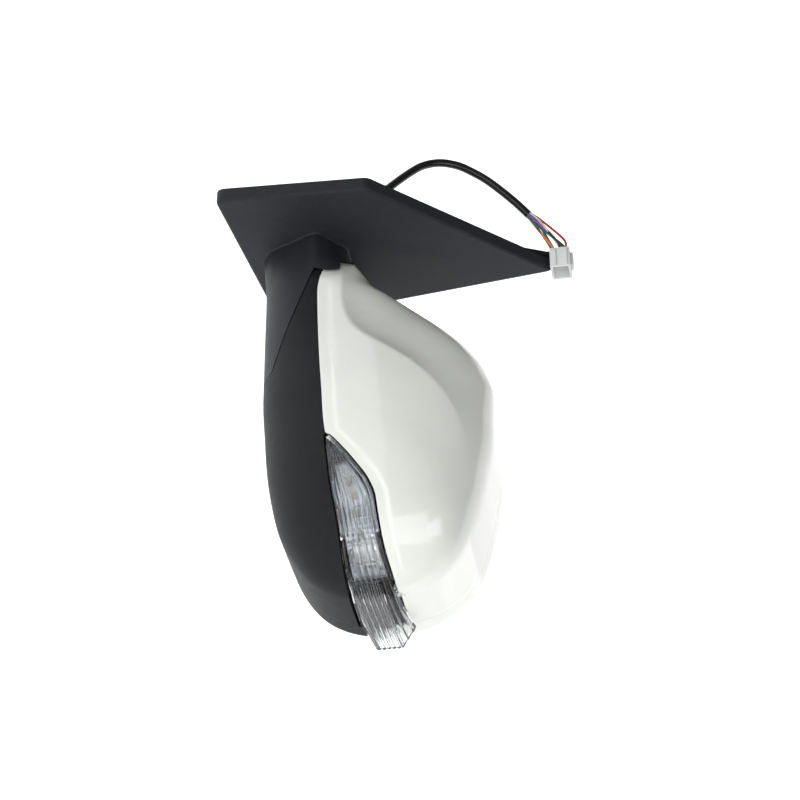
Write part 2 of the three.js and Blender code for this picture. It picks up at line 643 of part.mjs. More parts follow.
function baseBracket() {
  const arms = STUDS.map(([y, z]) => rod(11, 0, 4, alongX(0, y, z), 20));
  const web = [[-60, -18], [-54, -21], [20, -20], [30, -2], [2, 88], [-12, 86], [-36, 26], [-58, 0]];
  const plate = prismX(rounded(web, 6, 3), 0, 4);
  const arm = box(3.5, 52, -15.3, 12.9, -17, 8).intersect(rod(60, -60, -6.6, inFold(), 24));
  const seat = rod(POST.seat, -12, -6, inFold(), 28).intersect(box(5, 120, -60, 60, -21, 90));
  const holes = STUDS.map(([y, z]) => rod(3.4, -1, 6, alongX(0, y, z), 20));
  const made = [plate, ...arms.slice(1), arm, seat].reduce((a, b) => a.add(b), arms[0]);
  const pocket = prismX(rounded([[-18, 34], [-6, 70], [8, 34]], 5, 3), -1, 6);
  const bores = [
    rod(POST.radius + 0.3, -40, 10, inFold(), 32),
    rod(12.5, -40, POST.low + 0.4, inFold(), 24),
    rod(GROMMET.bore, -1, 6, alongX(0, GROMMET.y, GROMMET.z), 16),
    rod(GROMMET.recess, -1, GROMMET.recessDepth, alongX(0, GROMMET.y, GROMMET.z), 28),
  ];
  add("base_bracket", [...holes, pocket, ...bores].reduce((a, b) => a.subtract(b), made), CAST);
  STUDS.forEach(([y, z], i) => {
    const stud = rod(3, -STUD_LENGTH, 4.6, alongX(0, y, z), 16).add(rod(6, 4.4, 6.6, alongX(0, y, z), 6));
    add(`mount_stud_${i + 1}`, stud, STEEL);
  });
}

function sealAndFasteners() {
  const strip = prismX(sailOutline(4.4), 0.4, 2.2).subtract(prismX(sailOutline(8.4), -1, 3));
  add("sail_gasket", strip, RUBBER);
  [[-62, -27], [27, 24], [2, 110]].forEach(([y, z], i) => {
    const screw = rod(1.6, 2.4, 6.6, alongX(0, y, z), 12).add(rod(2.6, 0.8, 2.5, alongX(0, y, z), 16));
    add(`cover_screw_${i + 1}`, screw, STEEL);
  });
}

// ---------------------------------------------------------------- the fold joint
// Heights are along the fold axis, from the parting plane.
const FOLD_TEETH = 18;
function foldPivot() {
  const axis = inFold();
  const post = rod(POST.radius, POST.low, POST.high, axis, 32).add(rod(11, POST.low - 3, POST.low, axis, 6));
  add("pivot_post", post, STEEL);
  add("detent_ring", tube(24, POST.radius + 0.4, -5.4, -1, axis, 28), STEEL);
  add("pivot_bush", tube(10.5, POST.radius + 0.4, -0.4, 9.6, axis, 20), NYLON);
  const teeth = Array.from({ length: FOLD_TEETH }, (_, i) =>
    box(14, 16.6, -1.1, 1.1, 11, 16, axis.clone().multiply(turned(Z_AXIS, (i / FOLD_TEETH) * 2 * Math.PI))),
  );
  const gear = teeth.reduce((a, b) => a.add(b), tube(14.6, POST.radius + 0.4, 10.4, 16.6, axis, 28));
  add("fold_gear", gear, STEEL);
  const coil = Array.from({ length: 12 * 5 + 1 }, (_, i) => {
    const a = (i / 12) * 2 * Math.PI;
    return new THREE.Vector3(10.4 * Math.cos(a), 10.4 * Math.sin(a), 18.8 + (i / 60) * 14.6);
  });
  add("pivot_spring", sweep(coil, 1.1, 6, 60, axis), STEEL);
  add("spring_retainer", tube(13, POST.radius + 0.4, 35.6, 38.4, axis, 20), STEEL);
}

// A round rod along a smooth curve through points.
function sweep(points, radius, sides, steps, frame) {
  const path = new THREE.CatmullRomCurve3(points, false, "centripetal");
  const circle = new THREE.Shape().absarc(0, 0, radius, 0, 2 * Math.PI);
  const settings = { steps, curveSegments: sides / 2, extrudePath: path, bevelEnabled: false };
  const g = new THREE.ExtrudeGeometry(circle, settings);
  return solid(g, frame);
}

// ---------------------------------------------------------------- the head's frame and fold drive
const FRAME_Y = [6, 10];
const WORM = { a: 20.6, c: 13.5, radius: 3.6, motor: 6.5 };

function headFrame() {
  const outline = inset(RIM, 9);
  const plate = prismY(outline, ...FRAME_Y);
  const hub = tube(26, 11, 1.2 + SKIN, 6.6, inFold(), 28);
  const arm = box(16, 60, -3, 11, 3.8, 6.6, inFold());
  const strut = box(33, 60, 1, FRAME_Y[1] + 1, 3.8, 18, inFold());
  const cut = box(-60, 31, -60, 60, 9.2, 140, inFold());
  const trimmed = plate.subtract(cut).subtract(box(226, 300, 0, 20, -60, 150));
  const made = trimmed.add(hub).add(arm).add(strut);
  const below = rod(200, -200, SKIN + 0.8, inFold(), 24);
  const pads = ACTUATOR_SCREWS.map(([x, z]) => rod(2, -5, 30, alongY(x, 0, z), 16));
  const base = below.intersect(rod(66.6, -200, 20, inFold(), 48));
  add("head_frame", [base, ...pads].reduce((a, b) => a.subtract(b), made), CAST);
}

function foldDrive() {
  const alongB = (b) => inFold(moved(WORM.a, b, WORM.c)).multiply(turned(X_AXIS, -Math.PI / 2));
  const thread = Array.from({ length: 4 }, (_, i) => rod(WORM.radius, i * 3 - 6, i * 3 - 4.4, alongB(0), 14));
  add("fold_worm", thread.reduce((a, b) => a.add(b), rod(2.2, -8, 9.4, alongB(0), 12)), STEEL);
  add("fold_motor", rod(WORM.motor, 9.8, 23.6, alongB(0), 28), STEEL);
}

// ---------------------------------------------------------------- the glass and its actuator
const CASE = { radius: 37, back: 11, front: 25, wall: 2 };
const ACTUATOR_SCREWS = [[116, 68], [186, 68], [151, 3]];
const PLUNGERS = { yaw: [GLASS.x + JACK.yaw, GLASS.z], pitch: [GLASS.x, GLASS.z - JACK.pitch] };

function actuator() {
  const at = alongY(GLASS.x, 0, GLASS.z);
  const ears = ACTUATOR_SCREWS.map(([x, z]) => rod(6, CASE.back, CASE.back + 4, alongY(x, 0, z), 20));
  const body = ears.reduce((a, b) => a.add(b), rod(CASE.radius, CASE.back, CASE.front, at, 36));
  const room = rod(CASE.radius - CASE.wall, CASE.back + CASE.wall, CASE.front + 1, at, 36);
  const holes = ACTUATOR_SCREWS.map(([x, z]) => rod(2, 0, 40, alongY(x, 0, z), 16));
  add("actuator_housing", holes.reduce((a, b) => a.subtract(b), body.subtract(room)), BLACK);
  ACTUATOR_SCREWS.forEach(([x, z], i) => {
    const head = rod(3.4, CASE.back + 4.4, CASE.back + 6.6, alongY(x, 0, z), 18);
    add(`actuator_screw_${i + 1}`, rod(1.6, 4, CASE.back + 4.5, alongY(x, 0, z), 14).add(head), STEEL);
  });
  const bores = Object.values(PLUNGERS).map(([x, z]) => rod(JACK.radius + 0.8, 0, 60, alongY(x, 0, z), 20));
  const lid = rod(CASE.radius, CASE.front + 0.4, CASE.front + 2.4, at, 36);
  const posts = [-1, 1].map((s) => {
    const z = GLASS.z + s * 15.4;
    return box(GLASS.x - 3.4, GLASS.x + 3.4, CASE.front + 2, GLASS.pivot + 2.4, z - 1.5, z + 1.5);
  });
  const pins = rod(1.9, -20, 20, moved(GLASS.x, GLASS.pivot, GLASS.z), 20);
  const made = posts.reduce((a, b) => a.add(b), bores.reduce((a, b) => a.subtract(b), lid)).subtract(pins);
  add("actuator_cover", made, BLACK);
}

function adjustDrive(name, [x, z], across) {
  add(`${name}_plunger`, rod(JACK.radius - 0.8, 16.6, 32.6, alongY(x, 0, z), 20).add(jackTip(x, z)), NYLON);
  const nut = tube(8.6, JACK.radius, 17, 22, alongY(x, 0, z), 32);
  add(`${name}_gear`, nut, NYLON);
  const worm = across ? alongX(x - 3, 19.5, z + 11.6) : moved(x - 11.6, 19.5, z - 3);
  const thread = Array.from({ length: 3 }, (_, i) => rod(2.6, i * 3 - 3.6, i * 3 - 2.2, worm, 12));
  add(`${name}_worm`, thread.reduce((a, b) => a.add(b), rod(1.6, -5.4, 5.6, worm, 10)), STEEL);
  add(`${name}_motor`, rod(5, -22, -6, worm, 20), STEEL);
}

const jackTip = (x, z) => solid(new THREE.SphereGeometry(JACK.radius - 0.6, 16, 8), moved(x, 32.6, z));

function gimbalAndGlass() {
  const { x, z, pivot } = GLASS;
  const centre = alongY(x, 0, z);
  const ringBody = tube(12.4, 9.6, pivot - 2.4, pivot + 2.4, centre, 24);
  const pin = (from, to) => rod(1.5, from, to, moved(x, pivot, z), 16);
  const pins = pin(11.6, 16.6).add(pin(-16.6, -11.6));
  const bores = rod(1.9, -20, 20, alongX(x, pivot, z), 16);
  add("pivot_ring", ringBody.add(pins).subtract(bores), NYLON);
  const outline = inset(RIM, REAR.opening + REAR.flange + GLASS.margin);
  const face = GLASS.face;
  const back = face - GLASS.thick;
  add("mirror_glass", prismY(outline, back, face), MIRROR);
  add("heater_pad", prismY(inset(outline, 4), back - 0.9, back - 0.4), AMBER);
  const plate = prismY(inset(outline, 1.5), back - 2.8, back - 1.3);
  const hub = rod(6.6, pivot - 2, back - 2, centre, 32);
  const axle = rod(1.5, -12.2, 12.2, alongX(x, pivot, z), 16);
  const socket = ([px, pz]) => tube(6.4, JACK.radius + 0.4, pivot, back - 2, alongY(px, 0, pz), 16);
  const sockets = Object.values(PLUNGERS).map(socket);
  add("glass_carrier", [hub, axle, ...sockets].reduce((a, b) => a.add(b), plate), BLACK);
}

// ---------------------------------------------------------------- the harness at the door side
// The sleeve's route, from the grommet up and back in an arch to the connector at the sail's upper tip.
const SLEEVE_ROUTE = [
  [-21.5, -23, 38], [-29, -21.7, 45.5], [-38.3, -20, 54.6], [-46, -18, 61.5], [-52.3, -16, 67.4],
  [-58, -13.5, 73], [-61.7, -11, 78.8], [-63.8, -8.5, 85], [-64.2, -6, 91], [-62.8, -4, 97.3],
  [-59.9, -2, 103.3], [-54, 0.8, 112.5],
  [-46.3, 4, 121.5], [-38, 8, 130.5], [-29.5, 11.6, 138.4],
];
const SLEEVE_RADIUS = 2.7;
const CONNECTOR = { x: [-2.5, 12], y: [14, 28], z: [150.2, 162.8], wall: 1.4, depth: 9 };
const BOOT_ROUTE = [
  [5, -24, 20], [-1, -24, 20], [-6, -23.9, 21.4], [-11.5, -23.7, 26], [-16, -23.4, 31.4], [-20.6, -23.1, 37],
];
const WIRE_ROUTE = [
  [-28.9, 12, 139], [-22.5, 14, 145.4], [-16, 16.6, 151], [-9.6, 19.4, 155], [-4.4, 20.8, 156.2],
];
const toVectors = (points) => points.map((p) => new THREE.Vector3(...p));

function harness() {
  const boot = new THREE.CatmullRomCurve3(toVectors(BOOT_ROUTE), false, "centripetal");
  const rings = [0.5, 0.7].map((t) => {
    const turn = new THREE.Quaternion().setFromUnitVectors(Z_AXIS, boot.getTangentAt(t));
    const place = new THREE.Matrix4().makeRotationFromQuaternion(turn).setPosition(boot.getPointAt(t));
    return rod(5.6 - 1.2 * t, -0.9, 0.9, place, 12);
  });
  const seat = alongX(0, GROMMET.y, GROMMET.z);
  const flanges = [rod(9.2, 0.4, 2.4, seat, 28), rod(6.6, -1, 5.2, seat, 20)];
  const core = sweep(toVectors(BOOT_ROUTE), 4.2, 10, 10);
  add("harness_grommet", [...rings, ...flanges].reduce((a, b) => a.add(b), core), RUBBER);
  add("harness_sleeve", sweep(toVectors(SLEEVE_ROUTE), SLEEVE_RADIUS, 8, 30), RUBBER);
  add("harness_wires", sweep(toVectors(WIRE_ROUTE), 2.4, 8, 8), GREY);
}

// The connector slides by the groove under it on to the rail of a clip, held by the upper cover screw.
function connectorAndClip() {
  const { x, y, z, wall, depth } = CONNECTOR;
  const shell = box(...x, ...y, ...z);
  const mouth = box(x[1] - depth, x[1] + 1, y[0] + wall, y[1] - wall, z[0] + wall, z[1] - wall);
  const groove = box(x[0] - 1, x[1] + 1, 19, 23, z[0] - 1, z[0] + 0.8);
  const latch = box(x[0] + 2, x[1] - 3, y[0] + 4, y[1] - 4, z[1] - 0.5, z[1] + 1.6);
  const ribs = [3, 10].map((h) => box(x[0] + 1, x[1], y[0] - 0.8, y[0] + 0.5, z[0] + h - 1, z[0] + h + 1));
  const made = [latch, ...ribs].reduce((a, b) => a.add(b), shell);
  add("harness_connector", made.subtract(mouth).subtract(groove), CLEAR);
  const tongue = [[-5, 104], [4, 103], [25, 146], [25, z[0] - GAP], [17, z[0] - GAP], [15, 146]];
  const shelf = box(x[0], 0.2, 17, 25, z[0] - 2.4, z[0] - GAP);
  const rail = box(x[0], 0.2, 19.5, 22.5, z[0] - 1, z[0] + 0.3);
  const screwHole = rod(1.9, -9, 9, alongX(0, 2, 110), 12);
  add("connector_clip", prismX(tongue, -1.8, 0.2).add(shelf).add(rail).subtract(screwHole), BLACK);
}

// ---------------------------------------------------------------- the whole mirror
paintedCap();
lowerShroud();
rearBezel();
indicatorLamp();
baseCover();
baseBracket();
sealAndFasteners();
foldPivot();
headFrame();
foldDrive();
actuator();
adjustDrive("yaw", PLUNGERS.yaw, false);
adjustDrive("pitch", PLUNGERS.pitch, true);
gimbalAndGlass();
harness();
connectorAndClip();
export default root;
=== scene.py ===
"""Left door mirror of a car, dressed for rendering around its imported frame.

The head's form is the same set of curves that the frame's shells follow. Lengths in this script are
millimetres, turned into metres where a mesh is made.
"""
import json
import math

import bmesh
import bpy
import numpy as np
from mathutils import Matrix, Vector


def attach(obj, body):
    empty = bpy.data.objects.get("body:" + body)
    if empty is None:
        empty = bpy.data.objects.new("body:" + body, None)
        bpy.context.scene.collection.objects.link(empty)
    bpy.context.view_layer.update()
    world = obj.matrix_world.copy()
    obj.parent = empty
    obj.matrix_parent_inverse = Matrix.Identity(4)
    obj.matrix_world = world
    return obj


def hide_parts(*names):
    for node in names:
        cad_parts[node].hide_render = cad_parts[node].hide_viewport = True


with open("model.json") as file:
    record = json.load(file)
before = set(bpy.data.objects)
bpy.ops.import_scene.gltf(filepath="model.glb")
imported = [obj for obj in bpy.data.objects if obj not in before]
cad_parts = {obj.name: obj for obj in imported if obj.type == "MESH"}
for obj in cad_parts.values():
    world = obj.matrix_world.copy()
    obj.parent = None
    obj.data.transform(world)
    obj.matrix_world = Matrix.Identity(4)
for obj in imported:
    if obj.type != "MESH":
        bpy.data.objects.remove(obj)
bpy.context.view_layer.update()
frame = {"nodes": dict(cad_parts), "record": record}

MM = 0.001

# ------------------------------------------------------------------ dimensions shared with the frame
# The gap between shells and their wall.
GAP, SKIN = 0.4, 2.4
# Along x: the head's outboard tip, its inboard end, and the rear rim's inboard side.
TIP_X, NECK_X, RIM_X = 249.4, 18.0, 62.0
HINGE = frame["record"]["behaviour"]["joints"][0]
FOLD_X, FOLD_Z = HINGE["pos_m"][0] / MM, HINGE["pos_m"][2] / MM
SIN_T, COS_T = HINGE["axis"][0], HINGE["axis"][2]
# About the fold hinge: radii of the neck, of the collar's bore and of its outside, and the gap at the plane
# that parts the head from its foot.
NECK, COLLAR, SKIRT, SEAM = 39.5, 41.0, 64.0, 0.75
# The rear rim: where it meets the cap and where it ends along y, and its opening's inset from its outline.
SPLIT, RIM_Y, OPENING = 34.0, 48.0, 8.0
LENS_START = 165.0


# ------------------------------------------------------------------ camera and light
# The camera's angles in degrees, and in metres its distance and what it looks at.
CAMERA_TURN, CAMERA_RISE, CAMERA_AWAY = 36, 8, 1.4
CAMERA_TARGET = (0.11328, 0, 0.05749)
FLOOR_Z, FLOOR_REACH, BACK_WALL_Y, BACK_WALL_BEND, BACK_WALL_TOP = -118, 7000, 2600, 900, 6000


def make_camera():
    """Looks from the front quarter, rolled so that the door side is at the top of the picture."""
    turn, rise = math.radians(CAMERA_TURN), math.radians(CAMERA_RISE)
    away = Vector((math.sin(turn) * math.cos(rise), -math.cos(turn) * math.cos(rise), math.sin(rise)))
    level = Vector((math.cos(turn), math.sin(turn), 0))
    above = Vector((-math.sin(turn) * math.sin(rise), math.cos(turn) * math.sin(rise), math.cos(rise)))
    roll = math.atan(math.tan(turn) * math.sin(rise))
    right = math.cos(roll) * above + math.sin(roll) * level
    up = math.sin(roll) * above - math.cos(roll) * level
    data = bpy.data.cameras.new("camera")
    data.sensor_width = 36
    data.lens = 105
    data.clip_end = 50
    camera = bpy.data.objects.new("camera", data)
    bpy.context.scene.collection.objects.link(camera)
    rotation = Matrix((right, up, away)).transposed().to_4x4()
    camera.matrix_world = Matrix.Translation(Vector(CAMERA_TARGET) + away * CAMERA_AWAY) @ rotation
    bpy.context.scene.camera = camera


def area_light(name, place, aim, size, power):
    """A softbox of size (width, height) in metres, turned towards aim."""
    data = bpy.data.lights.new(name, "AREA")
    data.shape = "RECTANGLE"
    data.size, data.size_y = size
    data.energy = power
    light = bpy.data.objects.new(name, data)
    bpy.context.scene.collection.objects.link(light)
    direction = Vector(aim) - Vector(place)
    light.location = place
    light.rotation_euler = direction.to_track_quat("-Z", "Y").to_euler()


def backdrop():
    """A floor that curves up into a wall behind the object."""
    bend_y = BACK_WALL_Y - BACK_WALL_BEND
    path = [(-FLOOR_REACH, FLOOR_Z), (bend_y, FLOOR_Z)]
    for i in range(1, 13):
        a = i / 12 * math.pi / 2
        path.append((bend_y + BACK_WALL_BEND * math.sin(a), FLOOR_Z + BACK_WALL_BEND * (1 - math.cos(a))))
    path.append((BACK_WALL_Y, BACK_WALL_TOP))
    points = [(x, y, z) for x in (-FLOOR_REACH, FLOOR_REACH) for y, z in path]
    n = len(path)
    return mesh_object("floor", points, [(i, i + n, i + n + 1, i + 1) for i in range(n - 1)])


def make_studio():
    bpy.context.scene.view_settings.view_transform = "Standard"
    world = bpy.data.worlds.new("studio")
    bpy.context.scene.world = world
    world.use_nodes = True
    world.node_tree.nodes["Background"].inputs["Color"].default_value = (1.0, 1.0, 1.0, 1)
    world.node_tree.nodes["Background"].inputs["Strength"].default_value = 0.16
    area_light("key_softbox", (1.05, -0.8, 0.42), (0.17, 0, 0.04), (1.0, 0.8), 5.0)
    area_light("fill_softbox", (-0.6, -1.4, 0.1), (0.1, 0, 0.04), (0.8, 0.8), 0.3)
    area_light("top_softbox", (1.0, -0.75, 1.15), (0.16, 0, 0.04), (0.6, 0.6), 3.0)
    area_light("back_softbox", (0.3, 1.2, 0.7), (0.12, 0, 0.04), (0.9, 0.7), 1.2)
    floor = backdrop()
    floor.data.materials.append(floor_material())


# ------------------------------------------------------------------ meshes
# Faces that meet at more than this are shaded as an edge.
SHARP = math.radians(34)


def mesh_object(name, points, faces, smooth=True):
    mesh = bpy.data.meshes.new(name)
    mesh.from_pydata([tuple(c * MM for c in p) for p in points], [], faces)
    mesh.validate()
    mesh.update()
    if smooth:
        mesh.shade_smooth()
    piece = bpy.data.objects.new(name, mesh)
    bpy.context.scene.collection.objects.link(piece)
    return piece


def settled(piece):
    """Applies a piece's modifiers to its mesh."""
    bpy.context.view_layer.update()
    evaluated = piece.evaluated_get(bpy.context.evaluated_depsgraph_get())
    mesh = bpy.data.meshes.new_from_object(evaluated)
    piece.modifiers.clear()
    old = piece.data
    piece.data = mesh
    bpy.data.meshes.remove(old)
    return piece


def boolean(piece, other, operation):
    """Cuts, joins or keeps what a piece shares with another, which is used up."""
    change = piece.modifiers.new(operation, "BOOLEAN")
    change.operation = operation
    change.object = other
    change.solver = "EXACT"
    settled(piece)
    bpy.data.objects.remove(other)
    return piece


def soften(piece, width, segments, angle):
    """Rounds a piece's edges, and keeps its large faces flat in shading."""
    bevel = piece.modifiers.new("edge", "BEVEL")
    bevel.width = width * MM
    bevel.segments = segments
    bevel.limit_method = "ANGLE"
    bevel.angle_limit = math.radians(angle)
    bevel.use_clamp_overlap = True
    settled(piece)
    piece.data.shade_smooth()
    piece.data.set_sharp_from_angle(angle=SHARP)
    return piece


def dress(piece, body, material, nodes=()):
    """Gives a piece its material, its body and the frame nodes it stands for."""
    piece.data.materials.clear()
    piece.data.materials.append(material)
    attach(piece, body)
    if nodes:
        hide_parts(*nodes)
    return piece


def loft_mesh(rows, ends=True):
    """Points and faces through closed rows of points, its ends filled."""
    n, m = len(rows), len(rows[0])
    points = [p for row in rows for p in row]
    faces = []
    for i in range(n - 1):
        for j in range(m):
            k = (j + 1) % m
            faces.append((i * m + j, (i + 1) * m + j, (i + 1) * m + k, i * m + k))
    if ends:
        faces.append(tuple(range(m)))
        faces.append(tuple(range(n * m - 1, (n - 1) * m - 1, -1)))
    return points, faces


def outward(piece):
    """Turns a closed piece's faces outward."""
    work = bmesh.new()
    work.from_mesh(piece.data)
    bmesh.ops.remove_doubles(work, verts=work.verts, dist=1e-6)
    bmesh.ops.recalc_face_normals(work, faces=work.faces)
    if work.calc_volume(signed=True) < 0:
        bmesh.ops.reverse_faces(work, faces=work.faces)
    work.to_mesh(piece.data)
    work.free()
    return piece


def grid_normals(grid):
    """The unit normal at each point of a grid of surface points."""
    g = np.array(grid, float)
    a = np.gradient(g, axis=0)
    b = np.gradient(g, axis=1)
    n = np.cross(a, b)
    size = np.linalg.norm(n, axis=2, keepdims=True)
    return n / np.maximum(size, 1e-9)


def plate_mesh(name, grid, thickness, towards=(0, -1, 0)):
    """A closed plate behind a grid of surface points. The grid is its outer face, on the side of towards."""
    g = np.array(grid, float)
    normals = grid_normals(g)
    i, j = g.shape[0] // 2, g.shape[1] // 3
    if normals[i, j] @ np.array(towards, float) < 0:
        normals = -normals
    inner = g - normals * thickness
    rows, cols = g.shape[:2]
    points = [tuple(p) for p in g.reshape(-1, 3)] + [tuple(p) for p in inner.reshape(-1, 3)]
    base = rows * cols
    faces = []
    for r in range(rows - 1):
        for c in range(cols - 1):
            a, b, d, e = r * cols + c, (r + 1) * cols + c, (r + 1) * cols + c + 1, r * cols + c + 1
            faces.append((a, b, d, e))
            faces.append((base + a, base + e, base + d, base + b))
    edge = [(r, 0) for r in range(rows)] + [(rows - 1, c) for c in range(1, cols)]
    edge += [(r, cols - 1) for r in range(rows - 2, -1, -1)] + [(0, c) for c in range(cols - 2, 0, -1)]
    ids = [r * cols + c for r, c in edge]
    for k, a in enumerate(ids):
        b = ids[(k + 1) % len(ids)]
        faces.append((a, base + a, base + b, b))
    return outward(mesh_object(name, points, faces))


def rod_mesh(name, radius, low, high, matrix=None, sides=96):
    """A cylinder along Z, in the frame of the given matrix."""
    rows = []
    for z in (low, high):
        turns = np.linspace(0, 2 * math.pi, sides, endpoint=False)
        ring = [Vector((radius * math.cos(a), radius * math.sin(a), z)) for a in turns]
        rows.append([tuple((matrix @ p) if matrix else p) for p in ring])
    return outward(mesh_object(name, *loft_mesh(rows)))


def box_mesh(name, low, high, matrix=None):
    corners = []
    for z in (low[2], high[2]):
        loop = [(low[0], low[1]), (high[0], low[1]), (high[0], high[1]), (low[0], high[1])]
        corners.append([tuple((matrix @ Vector((x, y, z))) if matrix else (x, y, z)) for x, y in loop])
    return outward(mesh_object(name, *loft_mesh(corners), smooth=False))


# ------------------------------------------------------------------ the head's form, as in the frame
def profile(keys):
    """A smooth curve through keys (x, value). It runs in sqrt(TIP_X - x), so that the tip is round."""
    k = sorted((math.sqrt(max(0, TIP_X - x)), v) for x, v in keys)
    slope = [(k[i + 1][1] - k[i][1]) / (k[i + 1][0] - k[i][0]) for i in range(len(k) - 1)]
    m = []
    for i in range(len(k)):
        a, b = slope[max(0, i - 1)], slope[min(len(slope) - 1, i)]
        m.append(2 * a * b / (a + b) if a * b > 0 else 0)

    def value(x):
        u = min(max(math.sqrt(max(0, TIP_X - x)), k[0][0]), k[-1][0])
        i = 0
        while i < len(k) - 2 and u > k[i + 1][0]:
            i += 1
        h = k[i + 1][0] - k[i][0]
        t = (u - k[i][0]) / h
        a = k[i][1] * (1 + 2 * t) * (1 - t) ** 2 + k[i + 1][1] * t * t * (3 - 2 * t)
        return a + h * (m[i] * t * (1 - t) ** 2 - m[i + 1] * t * t * (1 - t))

    return value


top_z = profile([
    (18, 29), (24, 35.5), (32, 41.5), (41, 49), (50, 62), (64, 80), (75, 92), (86, 101.5), (100, 109.5),
    (118, 114.5), (145, 114.5), (179, 110), (206, 103.5), (223, 97), (234, 89), (242.5, 77), (247.6, 62),
    (TIP_X, 46)])
bottom_z = profile([
    (9.5, -26), (110, -25.5), (140, -23.5), (163, -21.5), (185, -18), (203.5, -13.5), (222, -5), (236, 6),
    (243.8, 18), (247.5, 28.5), (TIP_X, 46)])
waist_z = profile([(9.5, 12), (60, 12), (100, 22), (150, 36), (200, 44), (TIP_X, 46)])
front_y = profile([
    (9.5, -41), (30, -39.5), (60, -38.5), (90, -40.5), (130, -45), (170, -46.5), (205, -43), (225, -34.5),
    (238, -21), (246, -7), (TIP_X, 5)])
wall_y = profile([(9.5, 0), (205, 0), (235, 2), (TIP_X, 5.2)])
split_y = profile([(24, 2), (40, 6), (52, 16), (66, 30), (78, SPLIT), (TIP_X, SPLIT)])
seam_z = profile([
    (18, 27), (24, 22), (32, 18.2), (42, 15), (54, 13.3), (87, 14.8), (126, 18), (163.2, 21.5), (165, 24.2),
    (169, 27.6), (174, 31.4), (183.4, 38.1), (197.4, 47), (208, 50.7), (217.3, 51.6), (232, 53.2),
    (243, 55.6), (TIP_X, 58)])
lens_low_z = profile([
    (9.5, 20.6), (165, 21), (181, 22.4), (200, 24.4), (212, 26.4), (226, 27.8), (TIP_X, 28)])
back_y = profile([
    (18, 14), (24, 24), (32, 32), (42, 38), (52, 42.5), (62, 46.5), (64, RIM_Y), (TIP_X, RIM_Y)])
# How square the section is above and below the waist: 2 is an ellipse.
UPPER, LOWER = 2.5, 2.1


def section_point(x, angle):
    """A point of the front skin at x: the angle runs from -90 degrees at the bottom to 90 at the top."""
    n = UPPER if angle >= 0 else LOWER
    s = math.sin(abs(angle)) ** (2 / n)
    c = max(0.0, math.cos(angle)) ** (2 / n)
    mid = waist_z(x)
    z = mid + (top_z(x) - mid) * s if angle >= 0 else mid - (mid - bottom_z(x)) * s
    return (x, wall_y(x) - (wall_y(x) - front_y(x)) * c, z)


def section_angle(x, z):
    """The angle at which the front skin at x reaches the height z."""
    mid = waist_z(x)
    up = z >= mid
    t = (z - mid) / (top_z(x) - mid) if up else (mid - z) / (mid - bottom_z(x))
    a = math.asin(min(1, max(0, t)) ** ((UPPER if up else LOWER) / 2))
    return a if up else -a


def skin_y(x, z):
    return section_point(x, section_angle(x, z))[1]


def plane_z(x):
    """Height of the leaning plane that parts the head from its foot."""
    return FOLD_Z - (x - FOLD_X) * SIN_T / COS_T


def to_fold(p):
    """A point in the fold hinge's own frame, whose Z is the hinge's axis."""
    x, z = p[0] - FOLD_X, p[2] - FOLD_Z
    return (x * COS_T - z * SIN_T, p[1], x * SIN_T + z * COS_T)


def from_fold(q):
    return (FOLD_X + q[0] * COS_T + q[2] * SIN_T, q[1], FOLD_Z - q[0] * SIN_T + q[2] * COS_T)


FOLD_FRAME = Matrix(((COS_T, 0, SIN_T, FOLD_X), (0, 1, 0, 0), (-SIN_T, 0, COS_T, FOLD_Z), (0, 0, 0, 1)))


def in_neck(p):
    """Keeps a point of the head's inboard end within the round neck."""
    q = to_fold(p)
    if q[0] >= 0:
        return p
    limit = math.sqrt(max(0, NECK**2 - q[0] ** 2))
    return from_fold((q[0], max(-limit, min(limit, q[1])), q[2]))


def stations(x0, x1, n):
    """Places along x, closer together towards the tip."""
    a, b = math.sqrt(TIP_X - x0), math.sqrt(TIP_X - x1)
    out = []
    for i in range(n + 1):
        t = i / n
        even = x0 + (x1 - x0) * t
        rooted = TIP_X - (a + (b - a) * t) ** 2
        out.append(even + (rooted - even) * t)
    return out


def skin_row(x, a0, a1, front, wall, below, above):
    """A row across the skin at x: its front from angle a0 to a1, and the walls back from it."""
    row = []
    back = split_y(x)
    if below:
        row += [(x, back + (wall_y(x) - back) * j / wall, bottom_z(x)) for j in range(wall)]
    row += [section_point(x, a0 + (a1 - a0) * j / front) for j in range(front + 1)]
    if above:
        row += [(x, wall_y(x) + (back - wall_y(x)) * j / wall, top_z(x)) for j in range(1, wall + 1)]
    return [in_neck(p) for p in row]


def inset(points, d):
    """Moves a closed polygon inward by d."""
    p = np.array(points, float)
    before, after = np.roll(p, 1, axis=0), np.roll(p, -1, axis=0)
    area = np.sum(p[:, 0] * after[:, 1] - after[:, 0] * p[:, 1])
    a = (p - before) / np.linalg.norm(p - before, axis=1, keepdims=True)
    b = (after - p) / np.linalg.norm(after - p, axis=1, keepdims=True)
    m = np.stack([-a[:, 1] - b[:, 1], a[:, 0] + b[:, 0]], 1)
    m /= np.linalg.norm(m, axis=1, keepdims=True)
    k = np.sign(area) * d / np.maximum(0.35, m[:, 0] * -a[:, 1] + m[:, 1] * a[:, 0])
    return p + m * k[:, None]


def bend(p, q, r, n):
    """A curve from p to r that leans towards q."""
    out = []
    for i in range(n + 1):
        t = i / n
        out.append(tuple(p[k] * (1 - t) ** 2 + 2 * q[k] * t * (1 - t) + r[k] * t * t for k in range(2)))
    return out


